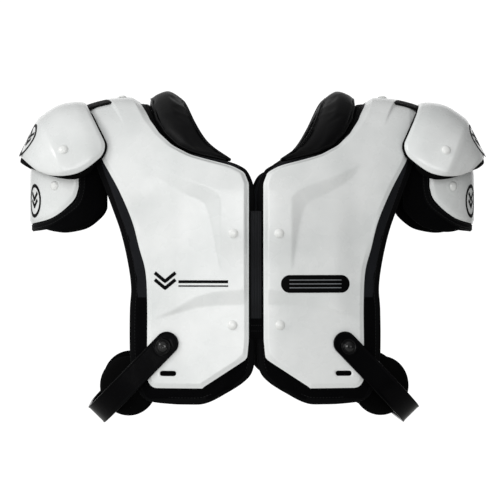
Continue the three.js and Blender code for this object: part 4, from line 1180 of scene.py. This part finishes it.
strap.steps = (0.5, 0.5)
tip = half_length + PAST_SCREW + HALF_WIDTH * np.sin(np.radians(np.linspace(88, 0, 26)))
near = np.linspace(half_length + PAST_SCREW, half_length - 16, 30)[1:]
rest = np.linspace(half_length - 16, 0, 58)[1:]
front = np.concatenate([tip, near, rest])
runs = np.concatenate([front, -front[::-1][1:]])
beyond = np.maximum(np.abs(runs) - half_length - PAST_SCREW, 0)
width = np.sqrt(np.maximum(HALF_WIDTH**2 - beyond**2, 0.3))
top_share = np.sin(np.linspace(-1, 1, 29) * math.pi / 2)
across = width[:, None] * top_share
run = np.broadcast_to(runs[:, None], across.shape)
to_side = width[:, None] - np.abs(across)
past = np.abs(run) - half_length - PAST_SCREW
to_rim = np.where(past > 0, HALF_WIDTH - np.hypot(across, past), to_side)
rail = 0.5 * ease(to_rim / 0.7) * (1 - ease((to_rim - 1.7) / 0.8))
corner = -0.7 * (1 - bulge(to_rim, 0.8, 0))
from_screw = np.hypot(across, np.abs(run) - half_length)
around = np.arctan2(across, np.abs(run) - half_length)
knurl = 0.32 * np.cos(around * 44) * ease((from_screw - 9.4) / 0.5)
knurl = knurl * (1 - ease((from_screw - 11.4) / 0.5))
strap_top = 2.5 + rail + corner + np.maximum(knurl, -0.2)
strap_bottom = np.zeros_like(strap_top) + 0.7 * (1 - np.clip(to_rim / 0.8, 0, 1))
for word, letter, hand in HANDS:
    strip = slab(
        f"side_strap_{word}", strap, across, run, strap_top, strap_bottom, strap_acetal, hand
    )
    fixed(face_out(strip), [f"side_strap_{letter}"])
    seats = [
        (strap(0, way * half_length), normal_of(strap, 0, way * half_length)) for _, way in FACES
    ]
    washer = turned(
        f"strap_washers_{word}",
        [
            (2.9, 2.8), (8.8, 2.8), (9.3, 3.0), (9.3, 3.5), (8.9, 4.0), (8.3, 4.1), (7.8, 3.9),
            (7.4, 3.5), (6.9, 3.5), (6.6, 3.9), (5.6, 4.15), (2.9, 4.15),
        ],
        seats, washer_acetal, hand, 56,
    )
    fixed(washer, [f"strap_washer_{face}_{letter}" for face, _ in FACES])
    cap = [(6.0 * math.sin(t), 4.5 + 2.5 * math.cos(t)) for t in np.linspace(0.35, math.pi / 2, 12)]
    screw = turned(
        f"strap_screws_{word}",
        [
            (0.01, 5.9), (1.3, 5.9), (1.7, 6.7), *cap, (6.1, 4.3), (2.6, 4.2), (2.6, -3.0),
            (0.01, -3.0),
        ],
        seats, screw_steel, hand, 48,
    )
    fixed(screw, [f"strap_screw_{face}_{letter}" for face, _ in FACES])


# Rib pads: round foam pads behind the liner's lower outer corners, with a piped edge.
RIB_PAD_ACROSS, RIB_PAD_ALONG, RIB_PAD_HEIGHT = LINER_WIDTH - 40, PLATE_PATH - 3, -26.2
PIPING_RADIUS = 33.2
angles = np.linspace(0, math.tau, 57)[:-1]
radii = np.array([0.5, 4, 9, 14, 19, 23, 26, 28.5, 30.5, 32, 32.8, 33])
for word, letter, hand in HANDS:
    for face, way in FACES:
        section = np.concatenate([radii, radii[::-1]])
        lift = np.sqrt(np.clip(1 - ((radii - 26.5) / 6.5).clip(0) ** 2, 0, 1))
        crown = 1.2 * (1 - (radii / radii[-1]) ** 2)
        top, bottom = RIB_PAD_HEIGHT + 5.9 * lift, RIB_PAD_HEIGHT - 5.9 * lift - crown
        heights = np.concatenate([top, bottom[::-1]])
        a = RIB_PAD_ACROSS + section * np.cos(angles)[:, None]
        b = way * (RIB_PAD_ALONG + section * np.sin(angles)[:, None])
        pad = surface(
            f"rib_pad_{face}_{word}", raised(arch, a, b, heights), foam_black, hand,
            closed=(True, True),
        )
        held = np.abs(section - 32.9) < 0.3
        room = np.where(heights > -26, 0.5, 2.4)
        swell(face_out(pad), np.tile(held, len(angles)), np.tile(room, len(angles)))
        fixed(rounded(pad), [f"rib_pad_{face}_{letter}"])
        a = RIB_PAD_ACROSS + PIPING_RADIUS * np.cos(angles)
        b = way * (RIB_PAD_ALONG + PIPING_RADIUS * np.sin(angles))
        line, up = raised(arch, a, b, RIB_PAD_HEIGHT), normal_of(arch, a, b)
        ahead = np.roll(line, -1, 0) - np.roll(line, 1, 0)
        cord = swept(
            f"rib_pad_piping_{face}_{word}", line, unit(np.cross(ahead, up)), up, PIPING,
            binding_tape, hand,
        )
        fixed(cord)


# Rivets: domed white nylon heads on a thin flange, through the plates, epaulets and cups.
# White nylon, moulded: a little brighter and glossier than the plates.
rivet_nylon = moulded("white_nylon", "#f3f4f2", "#e9ebe9", 0.22)
RIVET = [
    (0.01, 2.4), (1.2, 2.36), (2.4, 2.2), (3.5, 1.85), (4.3, 1.4), (4.8, 0.95), (5.0, 0.65),
    (5.5, 0.5), (5.65, 0.25), (5.5, 0.0), (2.0, 0.0), (2.0, -2.9), (0.01, -2.9),
]
PLATE_RIVETS = (("upper", 232, 26), ("lower", 338, 27.5))
CREST_RIVET = PLATE_WIDTH - 41
EPAULET_RIVET = (0.5, 0.76)
RIVET_LIFT = 0.2


def seat_on(form, a, b, relief=0.0):
    """A rivet's seat on a form: its point and its normal."""
    height = float(relief) + RIVET_LIFT
    return raised(form, a, b, height), normal_of(form, np.float64(a), np.float64(b))


def relief_at(across, along):
    return plate_relief(np.array([float(across)]), np.array([float(along)]))[0]


for word, letter, hand in HANDS:
    for row, along, across in PLATE_RIVETS:
        seats = [seat_on(arch, across, way * along, relief_at(across, along)) for _, way in FACES]
        rivets = turned(f"plate_rivets_{row}_{word}", RIVET, seats, rivet_nylon, hand)
        fixed(rivets, [f"plate_rivet_{row}_{face}_{letter}" for face, _ in FACES])
    seats = [seat_on(arch, CREST_RIVET, 0, relief_at(CREST_RIVET, 0))]
    crest = turned(f"crest_rivet_{word}", RIVET, seats, rivet_nylon, hand)
    fixed(crest, [f"crest_rivet_{letter}"])
    side, turn = EPAULET_RIVET
    seats = [seat_on(saddle, side, way * turn, epaulet_relief(side, turn)) for _, way in FACES]
    rivets = turned(f"epaulet_rivets_{word}", RIVET, seats, rivet_nylon, hand)
    fixed(rivets, [f"epaulet_rivet_{face}_{letter}" for face, _ in FACES])
    seats = [seat_on(dome, CUP_RIVET[0], way * CUP_RIVET[1]) for _, way in FACES]
    rivets = turned(f"cup_rivets_{word}", RIVET, seats, rivet_nylon, hand)
    fixed(rivets, [f"cup_rivet_{face}_{letter}" for face, _ in FACES])


# Printed marks: plain black pad prints where the photo has badges, a chest mark and a label. They
# are generic rings, chevrons, bars and a pinstriped pill with no writing.
# Pad-printing ink, slightly satin on the glossy plastic.
pad_ink = grained("black_pad_ink", "#040405", "#030303", 0.5, 0.01, 0.45, 0.04)
grey_ink = grained("grey_pad_ink", "#85888b", "#74777a", 0.5, 0.01, 0.45, 0.4)
MARK_AT, MARK_LIFT = (68.5, 290.5), 0.28
PILL_HALF, PILL_RADIUS = 30.7, 10.3


def arc(radius, start, end, count=40):
    t = np.radians(np.linspace(start, end, count))
    return np.stack([radius * np.cos(t), radius * np.sin(t)], -1)


def printed(name, strokes, place, material, hand):
    """One thin mesh of strokes (line in mm, half width), laid on a surface by place(u, v)."""
    points, faces = [], []
    for line, half in strokes:
        line = np.asarray(line, float)
        ahead = unit(np.gradient(line, axis=0))
        side = np.stack([-ahead[:, 1], ahead[:, 0]], -1)
        shares = np.linspace(-1, 1, 7)
        wide = np.broadcast_to(half, len(line))[:, None] * shares
        cells = line[:, None] + side[:, None] * wide[..., None]
        start = len(points)
        points.extend(place(cells[..., 0], cells[..., 1]).reshape(-1, 3))
        for i in range(len(line) - 1):
            for j in range(6):
                p = start + i * 7 + j
                faces.append((p, p + 7, p + 8, p + 1))
    mark = face_out(add_mesh(name, points, faces, material, hand))
    skin = mark.modifiers.new("ink", "SOLIDIFY")
    skin.thickness, skin.offset = 0.12 * MM, 0
    return fixed(settled(mark))


def bar(start, end, count=30):
    return np.linspace(start, end, count)


def chevron(top, width, drop):
    line = np.array([(-width, top), (0, top - drop), (width, top)], float)
    t = np.linspace(0, 2, 41)
    return np.stack([np.interp(t, [0, 1, 2], line[:, k]) for k in range(2)], -1)


def on_plate(flip, lift=MARK_LIFT):
    """Places mm right and up of the marks' middle on a plate, as seen from the front."""
    x, y = MARK_AT
    per_x = np.linalg.norm(arch(x + 0.5, y) - arch(x - 0.5, y))
    per_y = np.linalg.norm(arch(x, y + 0.5) - arch(x, y - 0.5))

    def place(u, v):
        across, along = x + flip * u / per_x, y - v / per_y
        return raised(arch, across, along, plate_relief(across, along) + lift)

    return place


def on_epaulet(u, v):
    side, turn = 0.82 - v / EPAULET_SPAN[0], 0.24 + u / EPAULET_SPAN[1]
    return raised(saddle, side, turn, epaulet_relief(side, turn) + MARK_LIFT)


def on_cup(u, v):
    return raised(dome, 1.2 - v / PER_CLIMB, 27 + u / (1.2 * PER_TURN), MARK_LIFT)


badge = [
    (arc(18, 0, 360, 90), 2.1), (chevron(9.5, 9.5, 8), 2.1), (chevron(1, 9.5, 8), 2.1),
]
for word, letter, hand in HANDS:
    printed(f"epaulet_badge_{word}", badge, on_epaulet, pad_ink, hand)
    printed(f"cup_badge_{word}", badge, on_cup, pad_ink, hand)

chest_strokes = [
    (chevron(13, 12.5, 10) + [-37, 0], 2), (chevron(5, 12.5, 10) + [-37, 0], 2),
    (bar((-21, 2.6), (37, 2.6)), 1.7), (bar((-21, -2.4), (37, -2.4)), 0.8),
]
printed("chest_mark_left", chest_strokes, on_plate(-1), pad_ink, -1)
ends = PILL_HALF + PILL_RADIUS * np.sin(np.linspace(0, math.pi / 2, 16))
x = np.concatenate([-ends[::-1], np.linspace(-PILL_HALF, PILL_HALF, 40)[1:-1], ends])
half = np.sqrt(np.maximum(PILL_RADIUS**2 - (np.abs(x) - PILL_HALF).clip(0) ** 2, 0.02))
pill = (np.stack([x, np.zeros_like(x)], -1), half)
printed("chest_label_right", [pill], on_plate(1), pad_ink, 1)
stripes = [(bar((-31, v), (31, v)), 0.45) for v in (4.5, 0, -4.5)]
printed("chest_label_stripes_right", stripes, on_plate(1, 0.5), grey_ink, 1)


# Studio: the pad hangs from its shoulder mount over a plain pale floor, in soft light from the
# upper left. The world is white behind the pad and falls off towards the lower right.
scene = bpy.context.scene
scene.view_settings.view_transform = "Standard"
floor_material, floor_shader = material_of("pale_floor_paint")
finish_surface(
    floor_material, floor_shader, (), Base_Color=linear("#e8e8e6"), Roughness=0.7
)
FLOOR_HALF, FLOOR_LEVEL = 1500, -640
corners = [
    (x * FLOOR_HALF, y * FLOOR_HALF, FLOOR_LEVEL) for x, y in ((-1, -1), (1, -1), (1, 1), (-1, 1))
]
floor = add_mesh("studio_floor", corners, [(0, 1, 2, 3)], floor_material)

world = bpy.data.worlds.new("soft_studio")
scene.world = world
world.use_nodes = True
sky = world.node_tree.nodes["Background"]
way = node(world, "TexCoord")
side_light = node(
    world, "VectorMath", {1: (-0.86, -0.42, 0.28)}, {0: (way, "Generated")},
    operation="DOT_PRODUCT",
)
fall_off = node(
    world, "MapRange",
    {"From Min": -1.0, "From Max": 1.0, "To Min": -0.06, "To Max": 0.86},
    {"Value": (side_light, "Value")},
)
behind = node(
    world, "VectorMath", {1: (0.03, 1.0, 0.0)}, {0: (way, "Generated")}, operation="DOT_PRODUCT"
)
backdrop = node(
    world, "MapRange",
    {"From Min": 0.80, "From Max": 0.95, "To Min": 0.14, "To Max": 1.1},
    {"Value": (behind, "Value")}, interpolation_type="SMOOTHSTEP",
)
strength = node(
    world, "Math", links={0: (fall_off, "Result"), 1: (backdrop, "Result")}, operation="MAXIMUM"
)
world.node_tree.links.new(strength.outputs["Value"], sky.inputs["Strength"])
sky.inputs["Color"].default_value = (1, 1, 1, 1)

for name, spot, width, height, power in (
    ("key_softbox", (-2.2, -0.95, 1.1), 0.7, 0.7, 13),
    ("front_softbox", (-0.35, -3.5, 0.35), 2.4, 1.2, 30),
):
    lamp = bpy.data.lights.new(name, "AREA")
    lamp.shape, lamp.size, lamp.size_y, lamp.energy = "RECTANGLE", width, height, power
    softbox = bpy.data.objects.new(name, lamp)
    softbox.location = spot
    toward = Vector((0, 0, -0.12)) - softbox.location
    softbox.rotation_euler = toward.to_track_quat("-Z", "Y").to_euler()
    scene.collection.objects.link(softbox)

lens = bpy.data.cameras.new("product_camera")
lens.lens, lens.sensor_width = 187.5, 36
camera = bpy.data.objects.new("product_camera", lens)
camera.location = (-0.1017, -3.144, -0.1531)
aim = Vector((-0.0029, 0, -0.1531)) - camera.location
camera.rotation_euler = aim.to_track_quat("-Z", "Y").to_euler()
scene.collection.objects.link(camera)
scene.camera = camera
